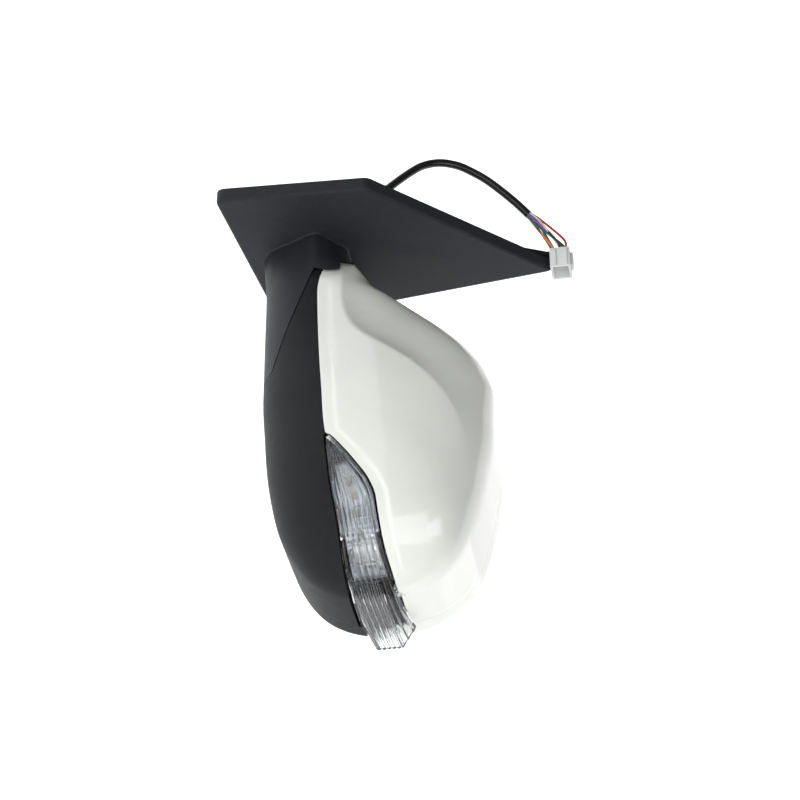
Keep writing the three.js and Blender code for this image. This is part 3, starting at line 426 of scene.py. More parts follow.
def rim_outline(n):
    """Outline of the rear rim, as (x, z), evenly spaced."""
    def low(x):
        return plane_z(x) + 0.6

    top = [(x, top_z(x)) for x in stations(72, TIP_X, n)]
    bottom = [(x, bottom_z(x)) for x in reversed(stations(124, TIP_X, n))][1:]
    heel = bend((124, bottom_z(124)), (116, bottom_z(120)), (106, low(106)), 12)[1:]
    foot = bend((76, low(76)), (RIM_X, low(RIM_X)), (RIM_X, 18), 12)
    shoulder = bend((RIM_X, 64), (RIM_X, 80), (72, top_z(72)), 12)[:-1]
    return respaced(top + bottom + heel + foot + shoulder, 2.2)


def respaced(points, step):
    """A closed outline with even steps, smoothed a little."""
    p = np.array(points + [points[0]], float)
    lengths = np.concatenate([[0], np.cumsum(np.linalg.norm(np.diff(p, axis=0), axis=1))])
    at = np.linspace(0, lengths[-1], int(lengths[-1] / step), endpoint=False)
    out = np.stack([np.interp(at, lengths, p[:, 0]), np.interp(at, lengths, p[:, 1])], 1)
    for _ in range(4):
        out = 0.5 * out + 0.25 * (np.roll(out, 1, axis=0) + np.roll(out, -1, axis=0))
    return out


RIM = rim_outline(60)


def rounded(points, radius, n=8):
    """Rounds the corners of a closed polygon."""
    out = []
    count = len(points)
    for i, p in enumerate(points):
        a, b, c = (np.array(points[(i + k) % count], float) for k in (-1, 0, 1))
        wanted = radius[i] if isinstance(radius, tuple) else radius
        cut = min(wanted, np.linalg.norm(a - b) / 2.2, np.linalg.norm(c - b) / 2.2)
        p0 = b + (a - b) / np.linalg.norm(a - b) * cut
        p2 = b + (c - b) / np.linalg.norm(c - b) * cut
        out += bend(p0, b, p2, n)
    return out


# ------------------------------------------------------------------ materials
def colour_of(value):
    """A linear colour from an sRGB one given as 0-255."""
    parts = [c / 255 for c in value]
    return tuple(c / 12.92 if c <= 0.04045 else ((c + 0.055) / 1.055) ** 2.4 for c in parts) + (1.0,)


def finish_of(name, light, dark, rough, metal=0.0, grain=900, bump=0.15, depth=0.1, **extra):
    """A procedural surface: two mottled tones, roughness that varies with them, and a fine bump."""
    material = bpy.data.materials.new(name)
    material.use_nodes = True
    tree = material.node_tree
    shader = tree.nodes["Principled BSDF"]
    place = tree.nodes.new("ShaderNodeTexCoord")
    coarse = tree.nodes.new("ShaderNodeTexNoise")
    coarse.inputs["Scale"].default_value = grain / 9
    coarse.inputs["Detail"].default_value = 5
    fine = tree.nodes.new("ShaderNodeTexNoise")
    fine.inputs["Scale"].default_value = grain
    fine.inputs["Detail"].default_value = 3
    tone = tree.nodes.new("ShaderNodeValToRGB")
    tone.color_ramp.elements[0].position = 0.3
    tone.color_ramp.elements[1].position = 0.7
    tone.color_ramp.elements[0].color = colour_of(dark)
    tone.color_ramp.elements[1].color = colour_of(light)
    mixed = tree.nodes.new("ShaderNodeMath")
    mixed.operation = "MULTIPLY_ADD"
    mixed.inputs[1].default_value = 0.4
    wear = tree.nodes.new("ShaderNodeMapRange")
    wear.inputs["From Min"].default_value = 0.3
    wear.inputs["From Max"].default_value = 0.7
    wear.inputs["To Min"].default_value = rough[0]
    wear.inputs["To Max"].default_value = rough[1]
    relief = tree.nodes.new("ShaderNodeBump")
    relief.inputs["Strength"].default_value = bump
    relief.inputs["Distance"].default_value = depth * MM
    link = tree.links.new
    for texture in (coarse, fine):
        link(place.outputs["Object"], texture.inputs["Vector"])
    scaled = tree.nodes.new("ShaderNodeMath")
    scaled.operation = "MULTIPLY"
    scaled.inputs[1].default_value = 0.6
    link(coarse.outputs["Fac"], scaled.inputs[0])
    link(fine.outputs["Fac"], mixed.inputs[0])
    link(scaled.outputs[0], mixed.inputs[2])
    link(mixed.outputs[0], tone.inputs["Fac"])
    link(mixed.outputs[0], wear.inputs["Value"])
    link(tone.outputs["Color"], shader.inputs["Base Color"])
    link(wear.outputs["Result"], shader.inputs["Roughness"])
    link(fine.outputs["Fac"], relief.inputs["Height"])
    link(relief.outputs["Normal"], shader.inputs["Normal"])
    shader.inputs["Metallic"].default_value = metal
    for socket, value in extra.items():
        shader.inputs[socket.replace("_", " ")].default_value = value
    return material


def floor_material():
    material = finish_of("studio_floor", (250, 250, 250), (247, 247, 247), (0.75, 0.85), grain=40, bump=0.02)
    shader = material.node_tree.nodes["Principled BSDF"]
    shader.inputs["Emission Color"].default_value = (1.0, 1.0, 1.0, 1.0)
    shader.inputs["Emission Strength"].default_value = 0.8
    return material


PAINT = finish_of(
    "painted_lacquer", (230, 232, 226), (226, 228, 222), (0.3, 0.36), grain=420, bump=0.012, depth=0.05,
    Coat_Weight=1.0, Coat_Roughness=0.04)
BLACK = finish_of(
    "grained_black_plastic", (28, 30, 33), (20, 22, 24), (0.46, 0.6), grain=1500, bump=0.22, depth=0.12,
    Specular_IOR_Level=0.16)
SAIL_BLACK = finish_of(
    "sail_black_plastic", (42, 44, 49), (34, 36, 40), (0.44, 0.56), grain=1700, bump=0.2, depth=0.1,
    Specular_IOR_Level=0.2)
CLEAR = finish_of(
    "clear_polycarbonate", (240, 243, 246), (234, 238, 242), (0.02, 0.05), grain=300, bump=0.01, depth=0.02,
    Transmission_Weight=1.0, IOR=1.49)
# The lens's end past the head: the same clear lens, painted paler and a little less clear. This is a painted
# highlight, so the end shows brighter as if it caught the light.
CLEAR_END_PAINTED_BRIGHT = finish_of(
    "clear_polycarbonate_end_painted_bright", (250, 251, 252), (244, 246, 248), (0.03, 0.07), grain=300, bump=0.01,
    depth=0.02, Transmission_Weight=0.94, IOR=1.49)
LAMP_DARK = finish_of("lamp_body_plastic", (50, 48, 48), (38, 37, 37), (0.22, 0.36), grain=900)
CHROME = finish_of(
    "vacuum_metallised", (252, 252, 252), (240, 240, 240), (0.1, 0.22), metal=0.6, grain=500, bump=0.02,
    depth=0.03)
BOARD = finish_of("circuit_board", (40, 104, 70), (22, 66, 44), (0.35, 0.6), grain=1200)
LED = finish_of("led_phosphor", (224, 220, 206), (208, 202, 184), (0.22, 0.34), grain=1500, bump=0.05)
CAST = finish_of(
    "die_cast_zinc", (160, 161, 163), (124, 125, 128), (0.38, 0.6), metal=1.0, grain=700, bump=0.3,
    depth=0.15)
STEEL = finish_of(
    "plated_steel", (196, 198, 201), (160, 162, 166), (0.22, 0.38), metal=1.0, grain=1100, bump=0.08)
RUBBER = finish_of("moulded_rubber", (40, 40, 42), (27, 27, 29), (0.5, 0.7), grain=1100, bump=0.2)
SLEEVE = finish_of(
    "glossy_sleeving", (24, 25, 27), (16, 17, 18), (0.16, 0.28), grain=260, bump=0.12, depth=0.3)
NYLON = finish_of(
    "natural_nylon", (234, 231, 221), (220, 216, 204), (0.36, 0.52), grain=900, bump=0.08,
    Subsurface_Weight=0.1)
CASE = finish_of("actuator_plastic", (66, 69, 74), (52, 55, 59), (0.38, 0.55), grain=1300, bump=0.18)
MIRROR = finish_of(
    "silvered_glass", (226, 231, 235), (219, 225, 230), (0.015, 0.035), metal=1.0, grain=60, bump=0.004,
    depth=0.02)
HEATER = finish_of("heater_film", (216, 156, 74), (188, 128, 54), (0.3, 0.5), grain=800)
CONNECTOR = finish_of(
    "connector_nylon", (238, 239, 238), (226, 228, 227), (0.3, 0.44), grain=900, bump=0.06,
    Transmission_Weight=0.2)
WIRE_TONES = {
    "red": (190, 36, 40), "white": (232, 232, 228), "purple": (150, 92, 186), "brown": (122, 62, 38),
    "orange": (226, 136, 52), "blue": (44, 92, 150), "black": (30, 30, 32), "green": (34, 104, 82),
}


def wire_material(name):
    tone = WIRE_TONES[name]
    shade = tuple(int(c * 0.82) for c in tone)
    return finish_of(f"wire_{name}", tone, shade, (0.28, 0.4), grain=700, bump=0.06)


# ------------------------------------------------------------------ the head
# Where along x the cap starts and ends, and where the shroud ends.
CAP_FROM, CAP_TO, SHROUD_END = 24.4, 248, 247.2


def skin_stations(n):
    """Stations shared by the cap and the shroud, in two runs that meet at the lens's start."""
    return stations(CAP_FROM, LENS_START - 1.8, n) + stations(LENS_START, SHROUD_END, n)


def ease(t):
    t = min(1, max(0, t))
    return t * t * (3 - 2 * t)


# The ledge along the cap's edge: its width, and how far the main face stands above it.
LEDGE, LEDGE_STEP = 6.5, 0.95

# The shoulder's line across the cap, as (x, z): below it the front face is flat, above it the cap falls away.
SHOULDER = [
    (22, 31), (44, 28.5), (62, 29), (72, 31), (81, 34.5), (87, 39), (93, 45), (101, 55), (113, 70), (126, 82),
    (137, 90), (149, 96), (162, 100), (190, 104), (212, 104)]
# How far the cap falls away beyond the line, and over about what distance.
SHOULDER_DEPTH, SHOULDER_REACH = 8.5, 12.0


def beyond_shoulder(x, z):
    """Distance past the shoulder's line, on the side of the neck and the top."""
    line = np.array(SHOULDER, float)
    if z <= np.interp(x, line[:, 0], line[:, 1]):
        return 0.0
    a, span = line[:-1], line[1:] - line[:-1]
    along = ((x - a[:, 0]) * span[:, 0] + (z - a[:, 1]) * span[:, 1]) / (span**2).sum(axis=1)
    near = a + span * np.clip(along, 0, 1)[:, None]
    return float(np.hypot(near[:, 0] - x, near[:, 1] - z).min())


def fallen_away(g, normals):
    """Draws the cap back beyond the shoulder, most at the neck and not at all towards the tip."""
    for i, row in enumerate(g):
        for j, (x, y, z) in enumerate(row):
            d = beyond_shoulder(x, z)
            share = ease((x - 26) / 12) * (1 - ease((x - 110) / 90)) * max(0, -normals[i, j][1]) ** 0.5
            g[i, j][1] += SHOULDER_DEPTH * (1 - math.exp(-d / SHOULDER_REACH)) * share
    return g


def raised(grid):
    """Lifts the cap's main face off a narrow ledge that runs along its edge, seen as a soft crease."""
    g = np.array(grid, float)
    normals = grid_normals(g)
    if normals[len(g) // 2, 20][1] > 0:
        normals = -normals
    steps = np.linalg.norm(np.diff(g, axis=1), axis=2)
    along = np.concatenate([np.zeros((len(g), 1)), np.cumsum(steps, axis=1)], axis=1)
    for i, row in enumerate(g):
        x = row[0][0]
        ledge = LEDGE if x < LENS_START else LEDGE * 0.8
        fade = ease((x - 34) / 16) * ease((TIP_X - 4 - x) / 20)
        for j in range(len(row)):
            lift = ease((along[i, j] - ledge) / 2) - ease((along[i, j] - 30) / 34)
            g[i, j] += normals[i, j] * LEDGE_STEP * lift * fade
    return fallen_away(g, normals)


def painted_cap():
    rows = [
        skin_row(x, section_angle(x, seam_z(x) + GAP / 2), math.pi / 2, 90, 16, False, True)
        for x in skin_stations(84) + [CAP_TO]
    ]
    for row in rows:
        x, y, z = row[-1]
        row[-1] = (x, y - GAP / 2, z)
    tip = seam_z(TIP_X) + 0.3
    end = rows[-1]
    for x, drop in ((CAP_TO + 0.6, 0.6), (TIP_X - 0.3, 3)):
        rows.append([(x, y, max(tip, z - drop)) for _, y, z in end])
    cap = soften(plate_mesh("painted_cap_skin", raised(rows), SKIN), 0.6, 3, 50)
    dress(cap, "head", PAINT, ["painted_cap"])


def base_side():
    return rod_mesh("base_side", SKIRT + SEAM, -90, SEAM / 2, FOLD_FRAME, 256)


def shroud_top(x):
    """The shroud closes the neck all round as far as the cap, then reaches up to the cap or the lens."""
    if x < CAP_FROM - 1.8:
        return top_z(x) - 0.5
    return (seam_z(x) if x < LENS_START - 1 else lens_low_z(x)) - GAP / 2


def lower_shroud():
    rows = []
    neck = [NECK_X + 0.5 + 0.33 * i for i in range(11)] + [CAP_FROM - 2, CAP_FROM - 1.4, CAP_FROM - 0.8]
    for x in neck + skin_stations(84):
        z = max(shroud_top(x), bottom_z(x) + 0.6)
        row = skin_row(x, -math.pi / 2, section_angle(x, z), 56, 16, True, False)
        px, py, pz = row[0]
        row[0] = (px, py - GAP / 2, pz)
        rows.append(row)
    shell = boolean(plate_mesh("lower_shroud_skin", rows, SKIN), base_side(), "DIFFERENCE")
    dress(soften(shell, 0.5, 3, 50), "head", BLACK, ["lower_shroud"])


def swept_ring(name, outline, section):
    """A closed profile of [inward, y] swept round an outline in the (X, Z) plane."""
    rows = []
    for u, y in section:
        rows.append([(x, y, z) for x, z in inset(outline, u)])
    rows.append(rows[0])
    return outward(mesh_object(name, *loft_mesh(rows, ends=False)))


# The rim's outer band: its thickness, and its profile as (inset, y).
RIM_SKIN = 1.0
RIM_EDGE = [(0, SPLIT + GAP / 2), (0, 38), (0, 41.5), *bend((0, 44), (0.3, RIM_Y - 0.2), (4, RIM_Y), 10)]


def rim_band(name, above, material):
    """The outer face of the rear rim: painted like the cap where the cap meets it, and black elsewhere."""
    edge = [(u, y) for u, y in RIM_EDGE if y < RIM_Y - 1 or not above]
    rings = [inset(RIM, u) for u, _ in edge]
    wanted = [(z > waist_z(TIP_X) and x > RIM_X + 2) == above for x, z in RIM]
    count = len(RIM)
    first = next(k for k in range(count) if wanted[k] and not wanted[k - 1])
    rows = []
    for k in range(first, first + sum(wanted)):
        rows.append([(ring[k % count][0], y, ring[k % count][1]) for ring, (_, y) in zip(rings, edge)])
    band = plate_mesh(name, rows, RIM_SKIN, towards=(0, 0, 1 if above else -1))
    band.data.set_sharp_from_angle(angle=SHARP)
    dress(band, "head", material)


def rear_bezel():
    w = OPENING
    d = RIM_SKIN + 0.05
    section = [(d, SPLIT + GAP / 2), (d, 44), *bend((d, 45), (d + 0.2, RIM_Y - 1.2), (4, RIM_Y - 0.2), 8)]
    section += bend((w - 1.6, RIM_Y), (w, RIM_Y), (w, RIM_Y - 1.6), 5)
    section += [(w, 27), (w - 2.2, 27), (w - 2.2, 45.6), (SKIN, 44.8), (SKIN, SPLIT + GAP / 2)]
    rim = swept_ring("rear_rim", RIM, section)
    rim_band("rim_painted_band", True, PAINT)
    rim_band("rim_black_band", False, BLACK)
    rows = []
    for x in stations(NECK_X + 1, RIM_X + 2, 40):
        low = plane_z(x) + 0.6
        mid = max(waist_z(x), low + 0.5)
        ys = split_y(x) + 2 * GAP
        row = [(x, back_y(x), low)]
        for j in range(41):
            a = j / 40 * 0.5 * math.pi
            y = ys + (back_y(x) - ys) * max(0, math.cos(a)) ** 0.8
            row.append((x, y, mid + (top_z(x) - mid) * math.sin(a) ** 0.8))
        rows.append([in_neck(p) for p in row])
    neck = plate_mesh("rear_neck", rows, SKIN, towards=(0, 1, 0))
    dress(soften(rim, 0.2, 2, 60), "head", BLACK, ["rear_bezel"])
    dress(soften(neck, 0.3, 2, 60), "head", BLACK)


# ------------------------------------------------------------------ the indicator lamp
# The lens lies in the skin up to FIN_START. Then it runs on as a fin, to FIN_X and FIN_Y at its blunt end.
FIN_START, FIN_X, FIN_Y, FIN_LOW, FIN_HIGH = 226, 268.3, 27, 39.6, 62.6
# The share of u before the fin, and how far the end leans back above the share FIN_BLUNT of its height.
FIN_LEAD, FIN_LEAN, FIN_BLUNT = 0.62, 13.3, 0.66
# What the fin's lower and upper edges bend towards.
FIN_KNEE_LOW, FIN_KNEE_HIGH = (251, 3, 27.6), (246, 0, 53)
LAMP_DEPTH = SKIN + 2 * GAP


def opening_z(x, f):
    """Height within the lamp's opening in the skin, from f = 0 at its lower edge to 1 at its upper."""
    return lens_low_z(x) + 2 * GAP + (seam_z(x) - lens_low_z(x) - 4 * GAP) * f


def lamp_point(u, f):
    """A point on the lens: u runs outboard to its blunt end, f from its lower to its upper edge."""
    lead = min(1, u / FIN_LEAD)
    x = LENS_START + (FIN_START - LENS_START) * lead
    z = opening_z(x, f)
    start = (x, skin_y(x, z) - 0.2 - 0.5 * lead, z)
    if u <= FIN_LEAD:
        return start
    t = (u - FIN_LEAD) / (1 - FIN_LEAD)
    lean = FIN_LEAN * max(0, (f - FIN_BLUNT) / (1 - FIN_BLUNT))
    end = (FIN_X - lean, FIN_Y, FIN_LOW + (FIN_HIGH - FIN_LOW) * f)
    knee = [p + (q - p) * f for p, q in zip(FIN_KNEE_LOW, FIN_KNEE_HIGH)]
    return tuple(p * (1 - t) ** 2 + 2 * q * t * (1 - t) + r * t * t for p, q, r in zip(start, knee, end))


def lamp_root(u, f, depth):
    """The point of the opening behind a point of the lens, at the given depth under the skin."""
    t = max(0, (u - FIN_LEAD) / (1 - FIN_LEAD))
    if t == 0:
        x, _, z = lamp_point(u, f)
        return (x, skin_y(x, z) + depth, z)
    turn = t * math.pi / 2
    x = FIN_START + (TIP_X - FIN_START) * math.sin(turn) ** 0.75
    y0 = skin_y(FIN_START, opening_z(FIN_START, f))
    drop = SPLIT - 1.4 - y0
    return (x - depth * math.sin(turn), y0 + drop * t**1.25 + depth * (1 - t), opening_z(x, f))


def flute(u, f):
    """Height of the long ribs moulded along the lens, which grow towards its end."""
    return 0.45 * min(1, max(0.25, (u - 0.4) / 0.2)) * math.cos(f * 2 * math.pi * 8)


# The lens's wall, the steps across each of its sides, and where along x its end starts, which is painted
# paler and less clear as a painted highlight.
LENS_WALL, LENS_SIDE, LENS_END_X = 2.2, 10, 247.5
LENS_ROWS, LENS_COLUMNS = 140, 128


def lens():
    """A clear shell over the lamp, ribbed lengthwise, that runs on past the head as a blunt channel."""
    rows = []
    for i in range(LENS_ROWS + 1):
        u = 0.006 + 0.994 * i / LENS_ROWS
        row = []
        for j in range(LENS_COLUMNS + 1):
            f = 0.004 + 0.992 * j / LENS_COLUMNS
            p, q = Vector(lamp_point(u, f)), Vector(lamp_root(u, f, 6))
            row.append(p + (q - p).normalized() * (0.4 + flute(u, f)))
        share = max(0.05, ease((u - FIN_LEAD) / (1 - FIN_LEAD) * 2.5))
        low = (Vector(lamp_root(u, 0.004, SKIN)) - row[0]) * share
        high = (Vector(lamp_root(u, 0.996, SKIN)) - row[-1]) * share
        before = [row[0] + low * (1 - k / LENS_SIDE) for k in range(LENS_SIDE)]
        after = [row[-1] + high * (k + 1) / LENS_SIDE for k in range(LENS_SIDE)]
        rows.append([tuple(p) for p in [*before, *row, *after]])
    shell = plate_mesh("indicator_lens_shell", rows, LENS_WALL)
    shell.data.set_sharp_from_angle(angle=math.radians(40))
    dress(shell, "head", CLEAR, ["indicator_lens"])
    # Faces past LENS_END_X get the paler copy of the clear finish: a painted highlight on the lens's end.
    shell.data.materials.append(CLEAR_END_PAINTED_BRIGHT)
    for face in shell.data.polygons:
        face.material_index = 1 if face.center.x > LENS_END_X * MM else 0


def band_mesh(name, u0, u1, n, near, far, edge, wave=None, cols=24):
    """A bar behind the lens between two depths, its edges moved outward by edge, its face shaped by wave."""
    rows = []
    for i in range(n + 1):
        u = u0 + (u1 - u0) * i / n
        row = []
        for j in range(cols + 1):
            f = j / cols
            x, y, z = lamp_root(u, f, near + (wave(u, f) if wave else 0))
            row.append((x, y, z + edge * (2 * f - 1)))
        for j in range(7):
            f = 1 - j / 6
            x, y, z = lamp_root(u, f, far)
            row.append((x, y, z + edge * (2 * f - 1)))
        rows.append(row)
    return outward(mesh_object(name, *loft_mesh(rows)))


def facet(u, f):
    """Depth of the reflector: long flutes, broken by a few steps across it."""
    step = 0.8 * (int(u * 11) % 2) + 0.35 * abs(u * 44 % 1 - 0.5)
    return 1.5 * abs(math.sin(f * math.pi * 5)) + step - 1.4


def lamp_inside():
    near = LAMP_DEPTH
    body = band_mesh("indicator_tray", 0.05, 0.81, 60, near, near + 10, -0.5)
    hollow = band_mesh("tray_hollow", 0.1, 0.802, 50, near - 3, near + 8.4, -1.8)
    tray = boolean(body, hollow, "DIFFERENCE")
    dress(soften(tray, 0.3, 2, 50), "head", LAMP_DARK, ["indicator_housing"])
    mirrors = band_mesh("indicator_facets", 0.17, 0.8, 182, near + 3.2, near + 8, -3.2, facet, 60)
    mirrors.data.shade_flat()
    dress(mirrors, "head", CHROME, ["indicator_reflector"])


# ------------------------------------------------------------------ the base
# The sail plate's outer face along x, its wall, and the radius round its edge.
SAIL_OUTER, SAIL_WALL, SAIL_LIP = 9.5, 2.4, 2.2
SAIL_CORNERS = [(-80.5, -43), (46, -29.5), (23, 152), (-75.5, 50.5)]
SAIL_RADII = (7, 5, 4, 3)
FOOT = [(-18, -26), (-27, -20), (-41, 12), (-22, 28), (15, 27), (38.5, 20), (38.5, -12), (28, -26)]
FOOT_CENTRE = (-1, 8)
# How far out the foot takes to turn into the head's section, and the fillet where it stands on the sail.
FOOT_LENGTH, FOOT_FILLET = 26, 1.4
# The angle in radians that the collar is cut back by for the fold, and the foot's wall under the hinge.
STOP, DECK = 0.42, 3


def sail_outline(d, radius=SAIL_RADII, n=12):
    return rounded([tuple(p) for p in inset(SAIL_CORNERS, d + 0.06)], radius, n)


def prism_x(name, outline, x0, x1):
    rows = [[(x, y, z) for y, z in outline] for x in (x0, x1)]
    return outward(mesh_object(name, *loft_mesh(rows)))


def sail_solid():
    rows = [[(0.6, y, z) for y, z in sail_outline(0)]]
    for i in range(9):
        a = i / 8 * math.pi / 2
        d = SAIL_LIP * (1 - math.cos(a))
        rows.append([(SAIL_OUTER - SAIL_LIP * (1 - math.sin(a)), y, z) for y, z in sail_outline(d)])
    return outward(mesh_object("sail_and_foot", *loft_mesh(rows)))


def reach(outline, angles):
    """Distance from FOOT_CENTRE to a closed outline at each of the given angles."""
    p = np.array(outline, float) - FOOT_CENTRE
    q = np.roll(p, -1, axis=0)
    e = q - p
    out = []
    for a in angles:
        c, s = math.cos(a), math.sin(a)
        det = e[:, 0] * s - e[:, 1] * c
        det = np.where(np.abs(det) < 1e-9, np.inf, det)
        along = (e[:, 0] * p[:, 1] - e[:, 1] * p[:, 0]) / det
        share = (c * p[:, 1] - s * p[:, 0]) / det
        hit = (along > 0) & (share >= -1e-6) & (share <= 1 + 1e-6)
        out.append(along[hit].max())
    return np.array(out)


def foot_oval(x):
    """The head's section at x, closed behind by the foot's own rear."""
    top = section_angle(x, FOOT[4][1])
    front = [section_point(x, a)[1:] for a in np.linspace(-math.pi / 2, top, 60)]
    return [*front, *rounded(FOOT[4:], 9, 8)]


def foot_row(x, d, count=240):
    """A section of the foot: faceted where it leaves the sail, then taking on the head's section."""
    blend = min(1, max(0, (x - SAIL_OUTER) / FOOT_LENGTH))
    near = min(1, max(0, (x - SAIL_OUTER) / FOOT_FILLET))
    flare = FOOT_FILLET * (1 - math.sqrt(1 - (1 - near) ** 2))
    angles = np.linspace(0, 2 * math.pi, count, endpoint=False)
    r = reach(rounded(FOOT, 3, 6), angles) * (1 - blend) + reach(foot_oval(x), angles) * blend - d + flare
    y, z = FOOT_CENTRE
    return [(x, y + k * math.cos(a), z + k * math.sin(a)) for k, a in zip(r, angles)]


def foot_solid(name, d, x0, x1):
    fillet = [SAIL_OUTER + FOOT_FILLET * (i / 6) ** 1.6 for i in range(7) if d == 0]
    rows = [foot_row(x, d) for x in sorted([x0, *fillet, *np.linspace(SAIL_OUTER + 2, x1, 36)])]
    return outward(mesh_object(name, *loft_mesh(rows)))


def base_cover():
    pedestal = foot_solid("pedestal", 0, SAIL_OUTER - 1.5, 120)
    below = rod_mesh("below_plane", SKIRT, -90, -SEAM / 2, FOLD_FRAME, 256)
    collar = rod_mesh("collar", SKIRT, -90, 60, FOLD_FRAME, 256)
    collar = boolean(collar, rod_mesh("collar_bore", COLLAR, -91, 61, FOLD_FRAME, 256), "DIFFERENCE")
    collar = boolean(collar, box_mesh("collar_side", (-90, -60, -10), (-13, 60, 60), FOLD_FRAME), "INTERSECT")
    turned = FOLD_FRAME @ Matrix.Rotation(-STOP, 4, "Z")
    collar = boolean(collar, box_mesh("swing", (-90, 0, -SEAM / 2), (0, 90, 90), turned), "DIFFERENCE")
    keep = boolean(below, collar, "UNION")
    pedestal = boolean(pedestal, keep, "INTERSECT")
    cover = boolean(sail_solid(), pedestal, "UNION")
    inside = prism_x("sail_inside", sail_outline(SAIL_WALL + 0.4, 3, 12), -1, SAIL_OUTER - SAIL_WALL)
    cover = boolean(cover, inside, "DIFFERENCE")
    for d, x0, x1, radius in ((SKIN, 1, 120, SKIRT - SKIN), (SKIN + 1, -1, SAIL_OUTER + 6, SKIRT)):
        room = foot_solid("foot_room", d, x0, x1)
        room = boolean(room, rod_mesh("deck", radius, -90, -DECK, FOLD_FRAME, 128), "INTERSECT")
        cover = boolean(cover, room, "DIFFERENCE")
    cover = boolean(cover, rod_mesh("pivot_hole", 25, -20, 4, FOLD_FRAME, 96), "DIFFERENCE")
    dress(soften(cover, 0.5, 3, 44), "base", SAIL_BLACK, ["base_cover"])


def gasket():
    outer = np.array(sail_outline(4.4))
    rows = []
    for i in range(13):
        a = i / 12 * 2 * math.pi
        u, x = 2 - 2 * math.cos(a), 1.3 + 0.9 * math.sin(a)
        rows.append([(x, y, z) for y, z in inset(outer, u)])
    rows[-1] = rows[0]
    seal = outward(mesh_object("gasket_bead", *loft_mesh(rows, ends=False)))
    dress(seal, "base", RUBBER, ["sail_gasket"])


# ------------------------------------------------------------------ the glass
# The pane's inset from the rim's opening, and its edge as (y, inset) from back to front.
PANE_INSET = 2.4 + 2.6
PANE_EDGE = [(40, 0.5), (40.4, 0), (41.4, 0), (41.75, 0.25), (42, 0.8)]


def mirror_glass():
    outline = inset(RIM, OPENING + PANE_INSET)
    rows = []
    for y, d in PANE_EDGE:
        rows.append([(x, y, z) for x, z in inset(outline, d)])
    glass = outward(mesh_object("mirror_pane", *loft_mesh(rows)))
    glass.data.set_sharp_from_angle(angle=math.radians(20))
    dress(glass, "glass", MIRROR, ["mirror_glass"])


# ------------------------------------------------------------------ the harness
# The middles of the sleeve and of the boot, from place to place along them.
SLEEVE_ROUTE = [
    (-21.5, -23, 38), (-29, -21.7, 45.5), (-38.3, -20, 54.6), (-46, -18, 61.5), (-52.3, -16, 67.4),
    (-58, -13.5, 73), (-61.7, -11, 78.8), (-63.8, -8.5, 85), (-64.2, -6, 91), (-62.8, -4, 97.3),
    (-59.9, -2, 103.3), (-54, 0.8, 112.5), (-46.3, 4, 121.5), (-38, 8, 130.5), (-29.5, 11.6, 138.4),
]
BOOT_ROUTE = [
    (5, -24, 20), (-1, -24, 20), (-6, -23.9, 21.4), (-11.5, -23.7, 26), (-16, -23.4, 31.4),
    (-20.6, -23.1, 37),
]
SLEEVE_DIAMETER = 5.2
# The connector's body, from and to along each axis.
PLUG_X, PLUG_Y, PLUG_Z = (-2.5, 12), (14, 28), (150.2, 162.8)
WIRE_RADIUS = 0.75


def plug_cell(row, column):
    """Where a core enters the back of the connector."""
    return Vector((PLUG_X[0] + 1.5, PLUG_Y[0] + 3.2 + 3.8 * column, PLUG_Z[0] + 2.8 + 3.5 * row))


def spline_points(keys, n):
    """Points along a smooth curve through the keys, n to a span."""
    k = [Vector(p) for p in keys]
    k = [2 * k[0] - k[1], *k, 2 * k[-1] - k[-2]]
    out = []
    for i in range(1, len(k) - 2):
        a, b, c, d = k[i - 1 : i + 3]
        for j in range(n):
            t = j / n
            second, third = 2 * a - 5 * b + 4 * c - d, 3 * b - a - 3 * c + d
            out.append(0.5 * (2 * b + (c - a) * t + second * t**2 + third * t**3))
    return out + [k[-2]]


def curve_piece(name, points, radius, material):
    data = bpy.data.curves.new(name, "CURVE")
    data.dimensions = "3D"
    data.bevel_depth = radius * MM
    data.bevel_resolution = 6
    data.use_fill_caps = True
    spline = data.splines.new("POLY")
    spline.points.add(len(points) - 1)
    for slot, p in zip(spline.points, points):
        slot.co = (*(p * MM), 1)
    spline.use_smooth = True
    piece = bpy.data.objects.new(name, data)
    bpy.context.scene.collection.objects.link(piece)
    data.materials.append(material)
    return piece


def tube_mesh(name, points, radii, sides=40):
    """A round body along points, with a radius at each."""
    rows = []
    across = None
    for i, p in enumerate(points):
        ahead = (points[min(i + 1, len(points) - 1)] - points[max(i - 1, 0)]).normalized()
        across = across or ahead.orthogonal()
        across = (across - ahead * across.dot(ahead)).normalized()
        other = ahead.cross(across)
        rows.append([
            tuple(p + (across * math.cos(a) + other * math.sin(a)) * radii[i])
            for a in np.linspace(0, 2 * math.pi, sides, endpoint=False)
        ])
    return outward(mesh_object(name, *loft_mesh(rows)))


def boot():
    """The grommet: a flange in the bracket, then a ribbed strain relief that tapers to the sleeve."""
    points = spline_points(BOOT_ROUTE, 24)
    radii = []
    for i in range(len(points)):
        t = i / (len(points) - 1)
        rib = max(0, math.cos(t * 2 * math.pi * 7)) ** 2 * (0.9 if 0.25 < t < 0.94 else 0)
        radii.append(4.3 - 1.0 * t + rib)
    body = tube_mesh("boot", points, radii)
    across = Matrix.Translation((0, -24, 20)) @ Matrix.Rotation(math.pi / 2, 4, "Y")
    for name, radius, low, high in (("flange", 9.2, 0.4, 2.4), ("seat", 6.6, -1, 5.2)):
        body = boolean(body, rod_mesh(name, radius, low, high, across, 72), "UNION")
    dress(soften(body, 0.35, 3, 50), "base", RUBBER, ["harness_grommet"])


